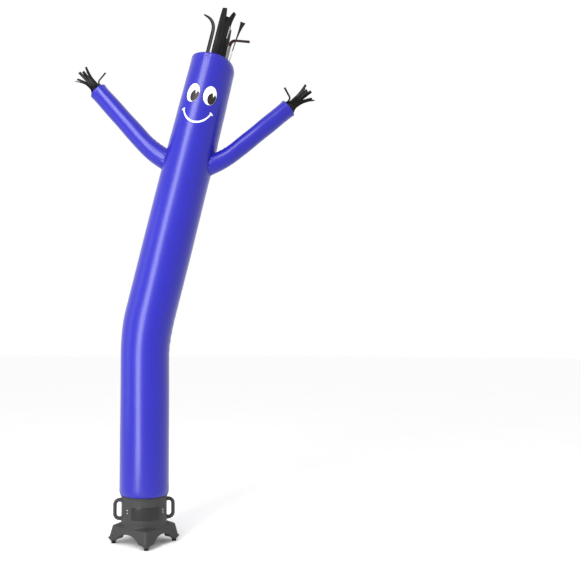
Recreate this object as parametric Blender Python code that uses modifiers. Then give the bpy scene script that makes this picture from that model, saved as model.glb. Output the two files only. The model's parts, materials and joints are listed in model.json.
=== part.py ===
"""An inflatable air dancer standing on its blower.

A long sewn tube of coated nylon fits over the neck of a plastic blower. It stands straight, bends once and
leans to its left over the upper half. Two arms are sewn over air holes, and black ribbons fly from the open
head and from both cuffs. Everything is in metres, with +Z up and the blower's front facing -Y.
"""

import math

import bmesh
import bpy
from mathutils import Matrix, Vector

# The sewn cloth
CLOTH = 0.0012
GAP = 0.0003
DANCER_TURN = math.radians(-8.2)  # turns the plane that the dancer leans in

HEM_HEIGHT = 0.287
BEND_HEIGHT = 1.251  # where the straight lower and upper stretches would meet
BEND_RADIUS = 1.15
LEAN = math.radians(13.9)
UPPER_LENGTH = 1.798  # from the meeting point to the rim of the head
TUBE_SEGMENTS = 40

# Radius of the tube along its length: distance from the hem, outer radius
TUBE_RADII = (
    ("hem edge", 0.000, 0.1440),
    ("hem fold", 0.006, 0.1465),
    ("collar", 0.015, 0.1495),
    ("skirt", 0.035, 0.1508),
    ("waist", 0.840, 0.1505),
    ("belly", 1.060, 0.1560),
    ("chest", 1.560, 0.1575),
    ("under the arms", 1.990, 0.1562),
    ("shoulders", 2.210, 0.1530),
    ("chin", 2.400, 0.1508),
    ("face", 2.580, 0.1478),
    ("brow", 2.700, 0.1452),
    ("rim fold", 2.755, 0.1440),
)
RIM_RADIUS = 0.1420
# The body is cut across at these distances from the hem, so that each length is its own solid
TUBE_LENGTHS = (
    ("dancer_tube_hem", 0.000, 0.400),
    ("dancer_tube_waist", 0.400, 0.800),
    ("dancer_tube_bend", 0.800, 1.300),
    ("dancer_tube_chest", 1.300, 1.780),
    ("dancer_tube_shoulders", 1.780, 2.320),
    ("dancer_tube_head", 2.320, None),
)
SLUMP_DEPTH = 0.055  # how far below the rim the left shoulder of the head starts to round over
SLUMP_PULL = 0.020
SLUMP_DROP = 0.004
RIM_SHARES = (1.0, 0.66, 0.36, 0.14, 0.0)  # of that depth, where the head has its last rings

# The arms: side (-1 is the viewer's left), distance of the root from the hem, azimuth of the root towards
# the back, elevation at the root and at the cuff, azimuth of the whole arm, length and three radii
ARMS = (
    dict(
        name="arm_left",
        side=-1,
        along=2.080,
        root_azimuth=math.radians(12),
        elevation=(math.radians(34), math.radians(49)),
        azimuth=math.radians(7),
        length=0.648,
        radii=(0.0655, 0.0605, 0.0575),
    ),
    dict(
        name="arm_right",
        side=1,
        along=2.105,
        root_azimuth=math.radians(-11),
        elevation=(math.radians(24), math.radians(38.5)),
        azimuth=math.radians(-6),
        length=0.590,
        radii=(0.0585, 0.0548, 0.0550),
    ),
)
ARM_STATIONS = 13
ARM_SEGMENTS = 22
ARM_BEND_SHARE = 0.35  # share of its length over which an arm turns up
ARM_ROOT_INSIDE = 0.075  # how deep the arm's tube starts inside the body before it is trimmed
AIR_HOLE_REACH = 0.060  # how far the hole's cutter goes to each side of the body's wall
CUFF_FLARE = 0.0015
AIR_HOLE_SHARE = 0.82  # of the arm's inner radius

# The ribbons
RIBBON = 0.0012
HAIR_COLUMNS = 48
HAND_COLUMNS = 24
HAND_BAND = 0.030
HAND_BAND_TOP = 0.002  # how far inside the cuff the band ends
BAND_CLEARANCE = 0.0016  # keeps the flat-sided bands off the flat-sided tubes

# Hair: first column (0 faces the front, rising to the viewer's right), columns wide, length, lean to the
# right of the head's axis, turn of that lean along the ribbon, the shares of the length between which it
# turns, lean to the front, width of the tip and twist of the ribbon about its own line
HAIR = (
    dict(column=-3, wide=1, length=0.274, lean=0, turn=-78, turns=(0.46, 1.0), front=2, tip=0.012, twist=0),
    dict(column=-1, wide=2, length=0.300, lean=0, turn=-3, turns=(0.20, 1.0), front=0, tip=0.032, twist=8),
    dict(column=2, wide=2, length=0.299, lean=-3, turn=24, turns=(0.47, 1.0), front=1, tip=0.028, twist=-14),
    dict(column=5, wide=1, length=0.234, lean=-1, turn=84, turns=(0.36, 0.66), front=3, tip=0.024, twist=8),
    dict(column=18, wide=1, length=0.345, lean=3, turn=6, turns=(0.30, 1.0), front=3, tip=0.034, twist=41),
    dict(column=21, wide=2, length=0.300, lean=2, turn=-5, turns=(0.30, 1.0), front=2, tip=0.028, twist=10),
)
HAIR_ROWS = 10

# Hands: first column (6 faces up), length, how far the ribbon gathers in, how far its tip fans out, width of
# the tip and twist. The last row is a loose curl.
HANDS = (
    dict(column=0, length=0.150, gather=0.52, spread=0.55, tip=0.012, twist=10),
    dict(column=3, length=0.168, gather=0.50, spread=0.75, tip=0.010, twist=-12),
    dict(column=8, length=0.140, gather=0.54, spread=0.40, tip=0.012, twist=14),
    dict(column=11, length=0.165, gather=0.50, spread=0.30, tip=0.011, twist=-8),
    dict(column=14, length=0.138, gather=0.55, spread=0.85, tip=0.012, twist=10),
    dict(column=17, length=0.158, gather=0.50, spread=1.15, tip=0.010, twist=-14),
    dict(column=19, length=0.146, gather=0.52, spread=1.00, tip=0.012, twist=12),
    dict(column=22, length=0.166, gather=0.52, spread=0.35, tip=0.011, twist=-10),
    dict(column=5, length=0.078, gather=-0.10, spread=1.20, tip=0.007, twist=16),
)
HAND_ROWS = 7
HAND_GATHERED = 0.40  # share of a hand ribbon's length by which it has gathered in
HAND_FANS = 0.50  # and from which it fans out

# The blower, drawn about its own upright axis
TURNED_STEPS = 48
DUCT_RADIUS = 0.125
BODY_RADIUS = 0.1375
LIP_RADIUS = 0.140
LIP_CHAMFER = 0.002
BEAD_RADIUS = 0.1435
BEAD_HALF = 0.0035
BEAD_FLAT = 0.0020
LOWER_BEAD = 0.281
UPPER_BEAD = 0.3227
HOUSING_TOP = 0.333
DUCT_FOOT = 0.100

PLINTH_CORNER = 0.025
PLINTH_LEVELS = (  # height, reach of the corner from the axis
    (0.0275, 0.212),
    (0.1050, 0.190),
    (0.1210, 0.140),
)
ARCH_RADIUS = 0.123
ARCH_TOP = 0.069
FOOT_REACH = 0.184
BOSS_TOP = 0.0355
BOSS_TOP_RADIUS = 0.036
BOSS_RADIUS = 0.017
FOOT_RADIUS = 0.0135
FOOT_HEIGHT = 0.013

HANDLE_RADIUS = 0.011
HANDLE_REACH = 0.188
HANDLE_LOW = 0.133
HANDLE_HIGH = 0.2645
HANDLE_CORNER = 0.028

PLATE_LOW = 0.156
PLATE_HIGH = 0.228
PLATE_HALF_ANGLE = math.radians(37.5)
PLATE_THICKNESS = 0.0010
SCREW_ANGLE = math.radians(50.5)
SCREW_HEIGHTS = (0.1915, 0.209)
SCREW_RADIUS = 0.0032
SCREW_DEPTH = 0.0022
SCREW_TOP_RADIUS = 0.00176

STRAP_LOW = 0.286
STRAP_HIGH = 0.316
STRAP_OUTER = 0.1412

GUARD_HEIGHT = 0.3245
GUARD_THICKNESS = 0.003
GUARD_SECTORS = 32
GUARD_HUB = 0.030
GUARD_RINGS = 5
GUARD_WIRE = 0.0045
GUARD_SPOKES = 4

COLOURS = {  # base colour, roughness, metallic
    "blue_nylon": ((0.045, 0.038, 0.52), 0.42, 0.0),
    "black_ribbon": ((0.012, 0.012, 0.013), 0.30, 0.0),
    "grey_plastic": ((0.060, 0.060, 0.060), 0.60, 0.0),
    "plate_gloss": ((0.040, 0.040, 0.040), 0.22, 0.0),
    "strap_webbing": ((0.020, 0.020, 0.024), 0.85, 0.0),
    "chrome": ((0.80, 0.80, 0.80), 0.12, 1.0),
    "steel_wire": ((0.55, 0.55, 0.55), 0.30, 1.0),
    "rubber": ((0.008, 0.008, 0.008), 0.80, 0.0),
}

for old in list(bpy.data.objects):
    bpy.data.objects.remove(old, do_unlink=True)

scene = bpy.context.scene
parts = bpy.data.collections.new("air_dancer")
cutters = bpy.data.collections.new("air_dancer_cutters")
scene.collection.children.link(parts)
scene.collection.children.link(cutters)


def empty(name, parent=None):
    made = bpy.data.objects.new(name, None)
    parts.objects.link(made)
    made.parent = parent
    return made


STAND = empty("blower_axis")
DANCER = empty("dancer_plane", STAND)
DANCER.rotation_euler.z = DANCER_TURN


def material(name):
    """The named finish, made once."""
    found = bpy.data.materials.get(name)
    if found:
        return found
    colour, roughness, metallic = COLOURS[name]
    made = bpy.data.materials.new(name)
    made.use_nodes = True
    shader = made.node_tree.nodes["Principled BSDF"]
    shader.inputs["Base Color"].default_value = (*colour, 1.0)
    shader.inputs["Roughness"].default_value = roughness
    shader.inputs["Metallic"].default_value = metallic
    made.diffuse_color = (*colour, 1.0)
    return made


def part(name, mesh, finish, parent=STAND):
    """A finished piece."""
    mesh.name = name
    mesh.materials.clear()
    mesh.materials.append(material(finish))
    made = bpy.data.objects.new(name, mesh)
    made.parent = parent
    parts.objects.link(made)
    return made


def cutter(name, mesh, parent=STAND):
    """A shape that only joins or cuts others."""
    made = bpy.data.objects.new(name, mesh)
    made.parent = parent
    made.hide_render = True
    made.display_type = "WIRE"
    cutters.objects.link(made)
    return made


def boolean(target, other, operation="DIFFERENCE"):
    modifier = target.modifiers.new(f"{operation.lower()} {other.name}", "BOOLEAN")
    modifier.object = other
    modifier.operation = operation
    modifier.solver = "EXACT"


def smooth(made, angle=40):
    made.data.shade_smooth()
    made.data.set_sharp_from_angle(angle=math.radians(angle))


def mesh_of(bm, name):
    mesh = bpy.data.meshes.new(name)
    bm.to_mesh(mesh)
    bm.free()
    return mesh


def curve_mesh(name, points, radii, segments, capped):
    """The mesh of a round tube through these points, with its own radius at each."""
    curve = bpy.data.curves.new(name, "CURVE")
    curve.dimensions = "3D"
    curve.bevel_depth = 1.0
    curve.bevel_resolution = (segments - 4) // 2
    curve.use_fill_caps = capped
    spline = curve.splines.new("POLY")
    spline.points.add(len(points) - 1)
    for place, point, radius in zip(points, spline.points, radii):
        point.co = (*place, 1.0)
        point.radius = radius
    guide = bpy.data.objects.new(name, curve)
    scene.collection.objects.link(guide)
    mesh = bpy.data.meshes.new_from_object(guide.evaluated_get(bpy.context.evaluated_depsgraph_get()))
    bpy.data.objects.remove(guide, do_unlink=True)
    bpy.data.curves.remove(curve)
    bm = bmesh.new()
    bm.from_mesh(mesh)
    bmesh.ops.remove_doubles(bm, verts=bm.verts, dist=1e-6)
    bmesh.ops.recalc_face_normals(bm, faces=bm.faces)
    bm.to_mesh(mesh)
    bm.free()
    return mesh


def cylinder_mesh(name, radius, low, high, segments, top_radius=None):
    """An upright cylinder or cone between two heights."""
    bm = bmesh.new()
    bmesh.ops.create_cone(
        bm,
        cap_ends=True,
        segments=segments,
        radius1=radius,
        radius2=radius if top_radius is None else top_radius,
        depth=high - low,
        matrix=Matrix.Translation((0, 0, (low + high) / 2)),
    )
    return mesh_of(bm, name)


def between(table, along):
    """The radius that a table of (name, distance, radius) gives at a distance, eased between its rows."""
    rows = [(distance, radius) for _, distance, radius in table]
    if along <= rows[0][0]:
        return rows[0][1]
    for (low, start), (high, end) in zip(rows, rows[1:]):
        if along <= high:
            share = (along - low) / (high - low)
            return start + (end - start) * share * share * (3 - 2 * share)
    return rows[-1][1]


# The centre line of the body: up, round one arc, and up again at the lean
BEND_TANGENT = BEND_RADIUS * math.tan(LEAN / 2)
LOWER_LENGTH = BEND_HEIGHT - BEND_TANGENT - HEM_HEIGHT
BEND_LENGTH = BEND_RADIUS * LEAN
TUBE_LENGTH = LOWER_LENGTH + BEND_LENGTH + UPPER_LENGTH - BEND_TANGENT


def body_angle(along):
    """How far the body leans at a distance from its hem."""
    return LEAN * min(max((along - LOWER_LENGTH) / BEND_LENGTH, 0.0), 1.0)


def body_centre(along):
    if along <= LOWER_LENGTH:
        return Vector((0, 0, HEM_HEIGHT + along))
    angle = body_angle(along)
    past = max(along - LOWER_LENGTH - BEND_LENGTH, 0.0)
    return Vector(
        (
            BEND_RADIUS * (1 - math.cos(angle)) + past * math.sin(LEAN),
            0,
            HEM_HEIGHT + LOWER_LENGTH + BEND_RADIUS * math.sin(angle) + past * math.cos(LEAN),
        )
    )


def body_axis(along):
    angle = body_angle(along)
    return Vector((math.sin(angle), 0, math.cos(angle)))


HEAD = body_centre(TUBE_LENGTH)
UP = body_axis(TUBE_LENGTH)
RIGHT = Vector((math.cos(LEAN), 0, -math.sin(LEAN)))
BACK = Vector((0, 1, 0))


def slumped(place):
    """A point of the head after its rim has rounded over on the leaning side."""
    below = -(place - HEAD).dot(UP)
    out = place - HEAD + UP * below
    if below >= SLUMP_DEPTH or out.length == 0:
        return place
    near = 1 - max(below, 0.0) / SLUMP_DEPTH
    side = max(out.normalized().dot(RIGHT), 0.0) ** 1.5
    pull = SLUMP_PULL * side * near**2
    return place - out.normalized() * pull - UP * SLUMP_DROP * side * near


def body_stations():
    """Distances from the hem at which the body has a ring: more where it bends or tapers."""
    edges = [row[1] for row in TUBE_RADII[:4]]
    lower = [0.40, 0.80]
    bend = [LOWER_LENGTH + BEND_LENGTH * step / 5 for step in range(6)]
    upper = [1.30, 1.55, 1.78, 1.99, 2.10, 2.21, 2.32, 2.43, 2.53, 2.62]
    rim = [TUBE_LENGTH - SLUMP_DEPTH * share for share in RIM_SHARES]
    return edges + lower + bend + upper + rim


def body_radius(along):
    return RIM_RADIUS if along >= TUBE_LENGTH else between(TUBE_RADII, along)


def body_mesh(name, grow, capped, low=0.0, high=None):
    """The body, or one length of it between two distances from the hem, half a gap short at each cut."""
    stations = [along for along in body_stations() if along >= low and (high is None or along <= high)]
    if low > 0:
        stations[0] += GAP / 2
    if high is not None:
        stations[-1] -= GAP / 2
    centres = [body_centre(along) for along in stations]
    radii = [body_radius(along) + grow for along in stations]
    mesh = curve_mesh(name, centres, radii, TUBE_SEGMENTS, capped)
    for vertex in mesh.vertices:
        vertex.co = slumped(vertex.co.copy())
    return mesh


def thicken(made, thickness=CLOTH):
    modifier = made.modifiers.new("cloth", "SOLIDIFY")
    modifier.thickness = thickness
    modifier.offset = -1
    modifier.use_even_offset = True


class Arm:
    """The centre line of one arm, from inside the body to its cuff."""

    def __init__(self, row):
        self.row = row
        self.name = row["name"]
        side, root = row["side"], row["root_azimuth"]
        along = row["along"]
        angle = body_angle(along)
        out = Vector((side * math.cos(root) * math.cos(angle), math.sin(root), 0))
        out.z = -side * math.cos(root) * math.sin(angle)
        self.root = body_centre(along) + out * body_radius(along)
        self.start = self.direction(0.0)

    def direction(self, share):
        low, high = self.row["elevation"]
        bent = min(share / ARM_BEND_SHARE, 1.0)
        rise = low + (high - low) * bent * bent * (3 - 2 * bent)
        turn = self.row["azimuth"]
        level = math.cos(rise)
        return Vector((self.row["side"] * level * math.cos(turn), level * math.sin(turn), math.sin(rise)))

    def stations(self):
        """(place, share of the length from the root) for each ring."""
        inside = (self.root - self.start * ARM_ROOT_INSIDE, 0.0)
        place, made = self.root.copy(), [inside, (self.root.copy(), 0.0)]
        steps = ARM_STATIONS - 2
        for step in range(steps):
            place = place + self.direction((step + 0.5) / steps) * self.row["length"] / steps
            made.append((place.copy(), (step + 1) / steps))
        return made

    def radius(self, share):
        shoulder, middle, cuff = self.row["radii"]
        if share < 0.3:
            return shoulder + (middle - shoulder) * share / 0.3
        flare = CUFF_FLARE if share >= 1.0 else 0.0
        return middle + (cuff - middle) * (share - 0.3) / 0.7 + flare

    def cuff(self):
        """Centre, outward axis and two cross directions of the cuff's mouth."""
        axis = self.direction(1.0)
        across = axis.cross(BACK).normalized()
        return self.stations()[-1][0], axis, across, across.cross(axis).normalized()


def make_body(arms):
    for name, low, high in TUBE_LENGTHS:
        made = part(name, body_mesh(name, 0.0, False, low, high), "blue_nylon", DANCER)
        thicken(made)
        for arm in arms:
            if low < arm.row["along"] < (high or TUBE_LENGTH):
                inner = arm.radius(0.0) - CLOTH
                ends = [arm.root - arm.start * AIR_HOLE_REACH, arm.root + arm.start * AIR_HOLE_REACH]
                hole = curve_mesh("air_hole", ends, [inner * AIR_HOLE_SHARE] * 2, ARM_SEGMENTS, True)
                boolean(made, cutter(f"{arm.name}_air_hole", hole, DANCER))
        smooth(made)


def make_arm(arm, body_cutter):
    stations = arm.stations()
    mesh = curve_mesh(
        arm.name,
        [place for place, _ in stations],
        [arm.radius(share) for _, share in stations],
        ARM_SEGMENTS,
        False,
    )
    made = part(arm.name, mesh, "blue_nylon", DANCER)
    thicken(made)
    boolean(made, body_cutter)
    smooth(made)


def comb_mesh(name, rings, ribbons):
    """A band of cloth with ribbons rising from its last ring.

    rings holds rows of points round the band. ribbons holds (first column, rows of points), where each row
    has one point more than the ribbon has columns.
    """
    bm = bmesh.new()
    rows = [[bm.verts.new(point) for point in ring] for ring in rings]
    count = len(rows[0])
    for low, high in zip(rows, rows[1:]):
        for step in range(count):
            after = (step + 1) % count
            bm.faces.new((low[step], low[after], high[after], high[step]))
    for column, lines in ribbons:
        below = [rows[-1][(column + step) % count] for step in range(len(lines[0]))]
        for line in lines:
            above = [bm.verts.new(point) for point in line]
            for step in range(len(line) - 1):
                bm.faces.new((below[step], below[step + 1], above[step + 1], above[step]))
            below = above
    return mesh_of(bm, name)


def hair_ring(depth):
    """The band's points at a depth below the rim. Column 0 faces the front."""
    along = TUBE_LENGTH - depth
    centre, radius = body_centre(along), body_radius(along) - CLOTH - BAND_CLEARANCE
    ring = []
    for column in range(HAIR_COLUMNS):
        angle = 2 * math.pi * column / HAIR_COLUMNS
        ring.append(slumped(centre + (RIGHT * math.sin(angle) - BACK * math.cos(angle)) * radius))
    return ring


def turned_to(share, begin, until):
    """How much of a turn has been made at a share of the length: none before begin, all after until."""
    turned = min(max((share - begin) / (until - begin), 0.0), 1.0)
    return turned * turned * (3 - 2 * turned)


def hair_ribbon(row, top):
    """Rows of points of one hair ribbon, starting above the band's top ring."""
    wide, step = row["wide"], row["length"] / HAIR_ROWS
    edge = [top[(row["column"] + offset) % HAIR_COLUMNS] for offset in range(wide + 1)]
    place = sum(edge, Vector()) / len(edge)
    base = edge[-1] - edge[0]
    lines = []
    for count in range(1, HAIR_ROWS + 1):
        share = count / HAIR_ROWS
        turned = turned_to(share - 0.5 / HAIR_ROWS, *row["turns"])
        angle = math.radians(row["lean"] + row["turn"] * turned)
        front = math.radians(row["front"])
        heading = (UP * math.cos(angle) + RIGHT * math.sin(angle)) * math.cos(front) - BACK * math.sin(front)
        place = place + heading * step
        across = base.normalized()
        if across.dot(RIGHT) < 0:
            across.negate()
        across = (across - heading * across.dot(heading)).normalized()
        across = Matrix.Rotation(math.radians(row["twist"] * share), 3, heading) @ across
        if base.dot(RIGHT) < 0:
            across.negate()
        width = base.length + (row["tip"] - base.length) * share**1.5
        lines.append([place + across * width * (offset / wide - 0.5) for offset in range(wide + 1)])
    return lines


def make_hair():
    rings = [hair_ring(SLUMP_DEPTH * share) for share in RIM_SHARES[1:]]
    ribbons = [(row["column"] % HAIR_COLUMNS, hair_ribbon(row, rings[-1])) for row in HAIR]
    made = part("hair_streamers", comb_mesh("hair", rings, ribbons), "black_ribbon", DANCER)
    thicken(made, RIBBON)
    smooth(made)


def make_hand(arm):
    centre, axis, across, depth = arm.cuff()
    radius = arm.radius(0.95) - CLOTH - BAND_CLEARANCE
    columns = [2 * math.pi * column / HAND_COLUMNS for column in range(HAND_COLUMNS)]

    def point(angle, reach, along):
        return centre + axis * along + (across * math.sin(angle) - depth * math.cos(angle)) * reach

    rings = [[point(angle, radius, along) for angle in columns] for along in (-HAND_BAND, -HAND_BAND_TOP)]
    pitch = 2 * math.pi / HAND_COLUMNS
    ribbons = []
    for row in HANDS:
        column = (row["column"] if arm.row["side"] > 0 else -1 - row["column"]) % HAND_COLUMNS
        middle = pitch * (column + 0.5)
        lines = []
        for count in range(1, HAND_ROWS + 1):
            share = count / HAND_ROWS
            gathered = min(share / HAND_GATHERED, 1.0)
            gathered = row["gather"] * gathered * gathered * (3 - 2 * gathered)
            fanned = row["spread"] * (max(share - HAND_FANS, 0.0) / (1 - HAND_FANS)) ** 1.6
            half = (pitch * radius * (1 - share) + row["tip"] * share) / 2
            at = point(middle, radius * (1 - gathered + fanned), row["length"] * share)
            tangent = across * math.cos(middle) + depth * math.sin(middle)
            tangent = Matrix.Rotation(math.radians(row["twist"] * share), 3, axis) @ tangent
            lines.append([at - tangent * half, at + tangent * half])
        ribbons.append((column, lines))
    name = arm.name.replace("arm", "hand_streamers")
    made = part(name, comb_mesh(name, rings, ribbons), "black_ribbon", DANCER)
    thicken(made, RIBBON)
    smooth(made)


def turned_mesh(name, profile, closed):
    """The outline of a turned piece, in the XZ plane. Its Screw modifier is added by turned()."""
    bm = bmesh.new()
    points = [bm.verts.new((radius, 0, height)) for radius, height in profile]
    for start, end in zip(points, points[1:]):
        bm.edges.new((start, end))
    if closed:
        bm.edges.new((points[-1], points[0]))
    return mesh_of(bm, name)


def turned(made, angle=2 * math.pi, steps=TURNED_STEPS):
    screw = made.modifiers.new("turned", "SCREW")
    screw.axis = "Z"
    screw.angle = angle
    screw.steps = steps
    screw.render_steps = steps
    screw.use_merge_vertices = angle >= 2 * math.pi
    screw.merge_threshold = 1e-5


def bead(height):
    """The outline of a raised ring round the neck, top to bottom."""
    return [
        (BODY_RADIUS, height + BEAD_HALF),
        (BEAD_RADIUS, height + BEAD_FLAT),
        (BEAD_RADIUS, height - BEAD_FLAT),
        (BODY_RADIUS, height - BEAD_HALF),
    ]


def housing_profile():
    lip = [
        (0.0, HOUSING_TOP),
        (LIP_RADIUS - LIP_CHAMFER, HOUSING_TOP),
        (LIP_RADIUS, HOUSING_TOP - LIP_CHAMFER),
        (LIP_RADIUS, UPPER_BEAD + BEAD_HALF),
    ]
    foot = [(BODY_RADIUS, DUCT_FOOT), (0.0, DUCT_FOOT)]
    return lip + bead(UPPER_BEAD)[1:] + bead(LOWER_BEAD) + foot


def plinth_mesh():
    """A square block turned corner to the front, tapering up and rising to the duct."""
    bm = bmesh.new()
    bmesh.ops.create_cube(bm, size=2.0)
    bm.faces.ensure_lookup_table()
    top = max(bm.faces, key=lambda face: face.calc_center_median().z)
    raised = bmesh.ops.extrude_face_region(bm, geom=[top])["geom"]
    bmesh.ops.delete(bm, geom=[top], context="FACES_ONLY")
    upper = {item for item in raised if isinstance(item, bmesh.types.BMVert)}
    middle = {vertex for vertex in bm.verts if vertex.co.z > 0} - upper
    for vertex in bm.verts:
        level = 2 if vertex in upper else 1 if vertex in middle else 0
        height, reach = PLINTH_LEVELS[level]
        half = (reach - PLINTH_CORNER) / math.sqrt(2) + PLINTH_CORNER
        vertex.co = (math.copysign(half, vertex.co.x), math.copysign(half, vertex.co.y), height)
    upright = [edge for edge in bm.edges if abs(edge.verts[0].co.z - edge.verts[1].co.z) > 0.001]
    bmesh.ops.bevel(bm, geom=upright, offset=PLINTH_CORNER, segments=5, profile=0.5, affect="EDGES")
    bmesh.ops.rotate(bm, verts=bm.verts, matrix=Matrix.Rotation(math.radians(45), 3, "Z"))
    bmesh.ops.recalc_face_normals(bm, faces=bm.faces)
    return mesh_of(bm, "plinth")


def make_housing():
    made = part("blower_housing", turned_mesh("blower_housing", housing_profile(), False), "grey_plastic")
    turned(made)
    boolean(made, cutter("plinth", plinth_mesh()), "UNION")
    for count in range(4):
        angle = count * math.pi / 2
        boss = cylinder_mesh("boss", BOSS_RADIUS, FOOT_HEIGHT + GAP, BOSS_TOP, 20, BOSS_TOP_RADIUS)
        placed = cutter(f"boss_{count + 1}", boss)
        placed.location = (FOOT_REACH * math.cos(angle), FOOT_REACH * math.sin(angle), 0)
        boolean(made, placed, "UNION")
    bore = cutter("duct", cylinder_mesh("duct", DUCT_RADIUS, -0.05, HOUSING_TOP + 0.05, TURNED_STEPS))
    bore.rotation_euler.z = math.pi / TURNED_STEPS
    boolean(made, bore)
    for count in range(2):
        arch = cutter(f"arch_{count + 1}", cylinder_mesh("arch", ARCH_RADIUS, -0.3, 0.3, 48))
        arch.location.z = ARCH_TOP - ARCH_RADIUS
        arch.rotation_euler = (math.pi / 2, 0, math.radians(45 + 90 * count))
        boolean(made, arch)
    smooth(made)


def make_handles():
    """Two D handles. Each runs out from the body, down and back in, with round corners."""
    inner = BODY_RADIUS + GAP
    outer = HANDLE_REACH - HANDLE_RADIUS
    low, high = HANDLE_LOW + HANDLE_RADIUS, HANDLE_HIGH - HANDLE_RADIUS
    for name, side in (("blower_handle_left", -1), ("blower_handle_right", 1)):
        path = [Vector((side * inner, 0, high))]
        for middle, start in ((high - HANDLE_CORNER, 90), (low + HANDLE_CORNER, 0)):
            for step in range(6):
                angle = math.radians(start - 18 * step)
                reach = outer - HANDLE_CORNER + HANDLE_CORNER * math.cos(angle)
                path.append(Vector((side * reach, 0, middle + HANDLE_CORNER * math.sin(angle))))
        path.append(Vector((side * inner, 0, low)))
        mesh = curve_mesh(name, path, [HANDLE_RADIUS] * len(path), 12, True)
        smooth(part(name, mesh, "grey_plastic"))


def make_strap():
    inner = BODY_RADIUS + GAP
    profile = [(inner, STRAP_HIGH), (STRAP_OUTER, STRAP_HIGH), (STRAP_OUTER, STRAP_LOW), (inner, STRAP_LOW)]
    made = part("collar_strap", turned_mesh("collar_strap", profile, True), "strap_webbing")
    turned(made)
    smooth(made)


def make_plate():
    """A thin curved plate: an upright line swept round part of the body, then thickened."""
    bm = bmesh.new()
    outer = BODY_RADIUS + GAP + PLATE_THICKNESS
    start = -math.pi / 2 - PLATE_HALF_ANGLE
    ends = [
        bm.verts.new((outer * math.cos(start), outer * math.sin(start), height))
        for height in (PLATE_HIGH, PLATE_LOW)
    ]
    bm.edges.new(ends)
    made = part("front_plate", mesh_of(bm, "front_plate"), "plate_gloss")
    share = PLATE_HALF_ANGLE * 2 / (2 * math.pi)
    turned(made, PLATE_HALF_ANGLE * 2, round(TURNED_STEPS * share))
    thicken(made, PLATE_THICKNESS)
    smooth(made)


def make_screws():
    """Low domed heads, one pair on each side of the plate."""
    reach = BODY_RADIUS + GAP
    places = [(side, height) for side in (-1, 1) for height in SCREW_HEIGHTS]
    for count, (side, height) in enumerate(places, 1):
        mesh = cylinder_mesh("screw", SCREW_RADIUS, 0, SCREW_DEPTH, 16, SCREW_TOP_RADIUS)
        made = part(f"side_screw_{count}", mesh, "chrome")
        angle = side * SCREW_ANGLE
        made.location = (reach * math.sin(angle), -reach * math.cos(angle), height)
        made.rotation_euler = (math.pi / 2, 0, angle)
        smooth(made, 20)


def make_feet():
    for name, degrees in (("front", -90), ("right", 0), ("back", 90), ("left", 180)):
        made = part(f"foot_{name}", cylinder_mesh("foot", FOOT_RADIUS, 0, FOOT_HEIGHT, 24), "rubber")
        angle = math.radians(degrees)
        made.location = (FOOT_REACH * math.cos(angle), FOOT_REACH * math.sin(angle), 0)
        smooth(made)


def make_guard():
    """A flat grille: a hub, rings and spokes cut from one polar grid, then thickened."""
    radii = [0.0, GUARD_HUB]
    rim = DUCT_RADIUS - 2 * GAP
    pitch = (rim - GUARD_HUB) / GUARD_RINGS
    for ring in range(1, GUARD_RINGS + 1):
        radii += [GUARD_HUB + ring * pitch - GUARD_WIRE, GUARD_HUB + ring * pitch]
    every = GUARD_SECTORS // GUARD_SPOKES
    bm = bmesh.new()
    hub = bm.verts.new((0, 0, GUARD_HEIGHT))
    grid = {}
    for level, radius in enumerate(radii[1:], 1):
        for sector in range(GUARD_SECTORS):
            angle = 2 * math.pi * sector / GUARD_SECTORS
            grid[level, sector] = bm.verts.new(
                (radius * math.cos(angle), radius * math.sin(angle), GUARD_HEIGHT)
            )
    for sector in range(GUARD_SECTORS):
        after = (sector + 1) % GUARD_SECTORS
        bm.faces.new((hub, grid[1, sector], grid[1, after]))
        for level in range(1, len(radii) - 1):
            if level % 2 == 0 or sector % every == 0:
                near, far = grid[level, sector], grid[level + 1, sector]
                bm.faces.new((near, far, grid[level + 1, after], grid[level, after]))
    bmesh.ops.delete(bm, geom=[vertex for vertex in bm.verts if not vertex.link_faces], context="VERTS")
    made = part("outlet_guard", mesh_of(bm, "outlet_guard"), "steel_wire")
    thicken(made, GUARD_THICKNESS)
    smooth(made)


def centre_on_origin():
    """Moves the whole object so that the middle of its footprint is at the origin."""
    bpy.context.view_layer.update()
    graph = bpy.context.evaluated_depsgraph_get()
    corners = []
    for made in parts.objects:
        if made.type == "MESH":
            shape = made.evaluated_get(graph)
            corners += [shape.matrix_world @ Vector(corner) for corner in shape.bound_box]
    for axis in (0, 1):
        values = [corner[axis] for corner in corners]
        STAND.location[axis] = -round((min(values) + max(values)) / 2, 3)
    bpy.context.view_layer.update()


both_arms = [Arm(row) for row in ARMS]
make_body(both_arms)
body_clearance = cutter("body_clearance", body_mesh("body_clearance", GAP, True), DANCER)
for each in both_arms:
    make_arm(each, body_clearance)
    make_hand(each)
make_hair()
make_housing()
make_handles()
make_strap()
make_plate()
make_screws()
make_guard()
make_feet()
centre_on_origin()
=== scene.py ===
# %% [markdown]
# # An inflatable air dancer on its blower
#
# A long tube of thin coated nylon is sewn into a figure with two arms, and its open bottom fits over the neck
# of a plastic blower. Moving air holds it up. The hair and hands are black ribbons that flutter in the air
# that leaves by the head and the cuffs.
#
# The solids made in CAD come first, because every piece is placed from them and rides on them. Nothing here
# moves or resizes them: this file gives them their cloth, stitches, moulding and light.

# %% Load the fixed solids
import json
import math

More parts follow.
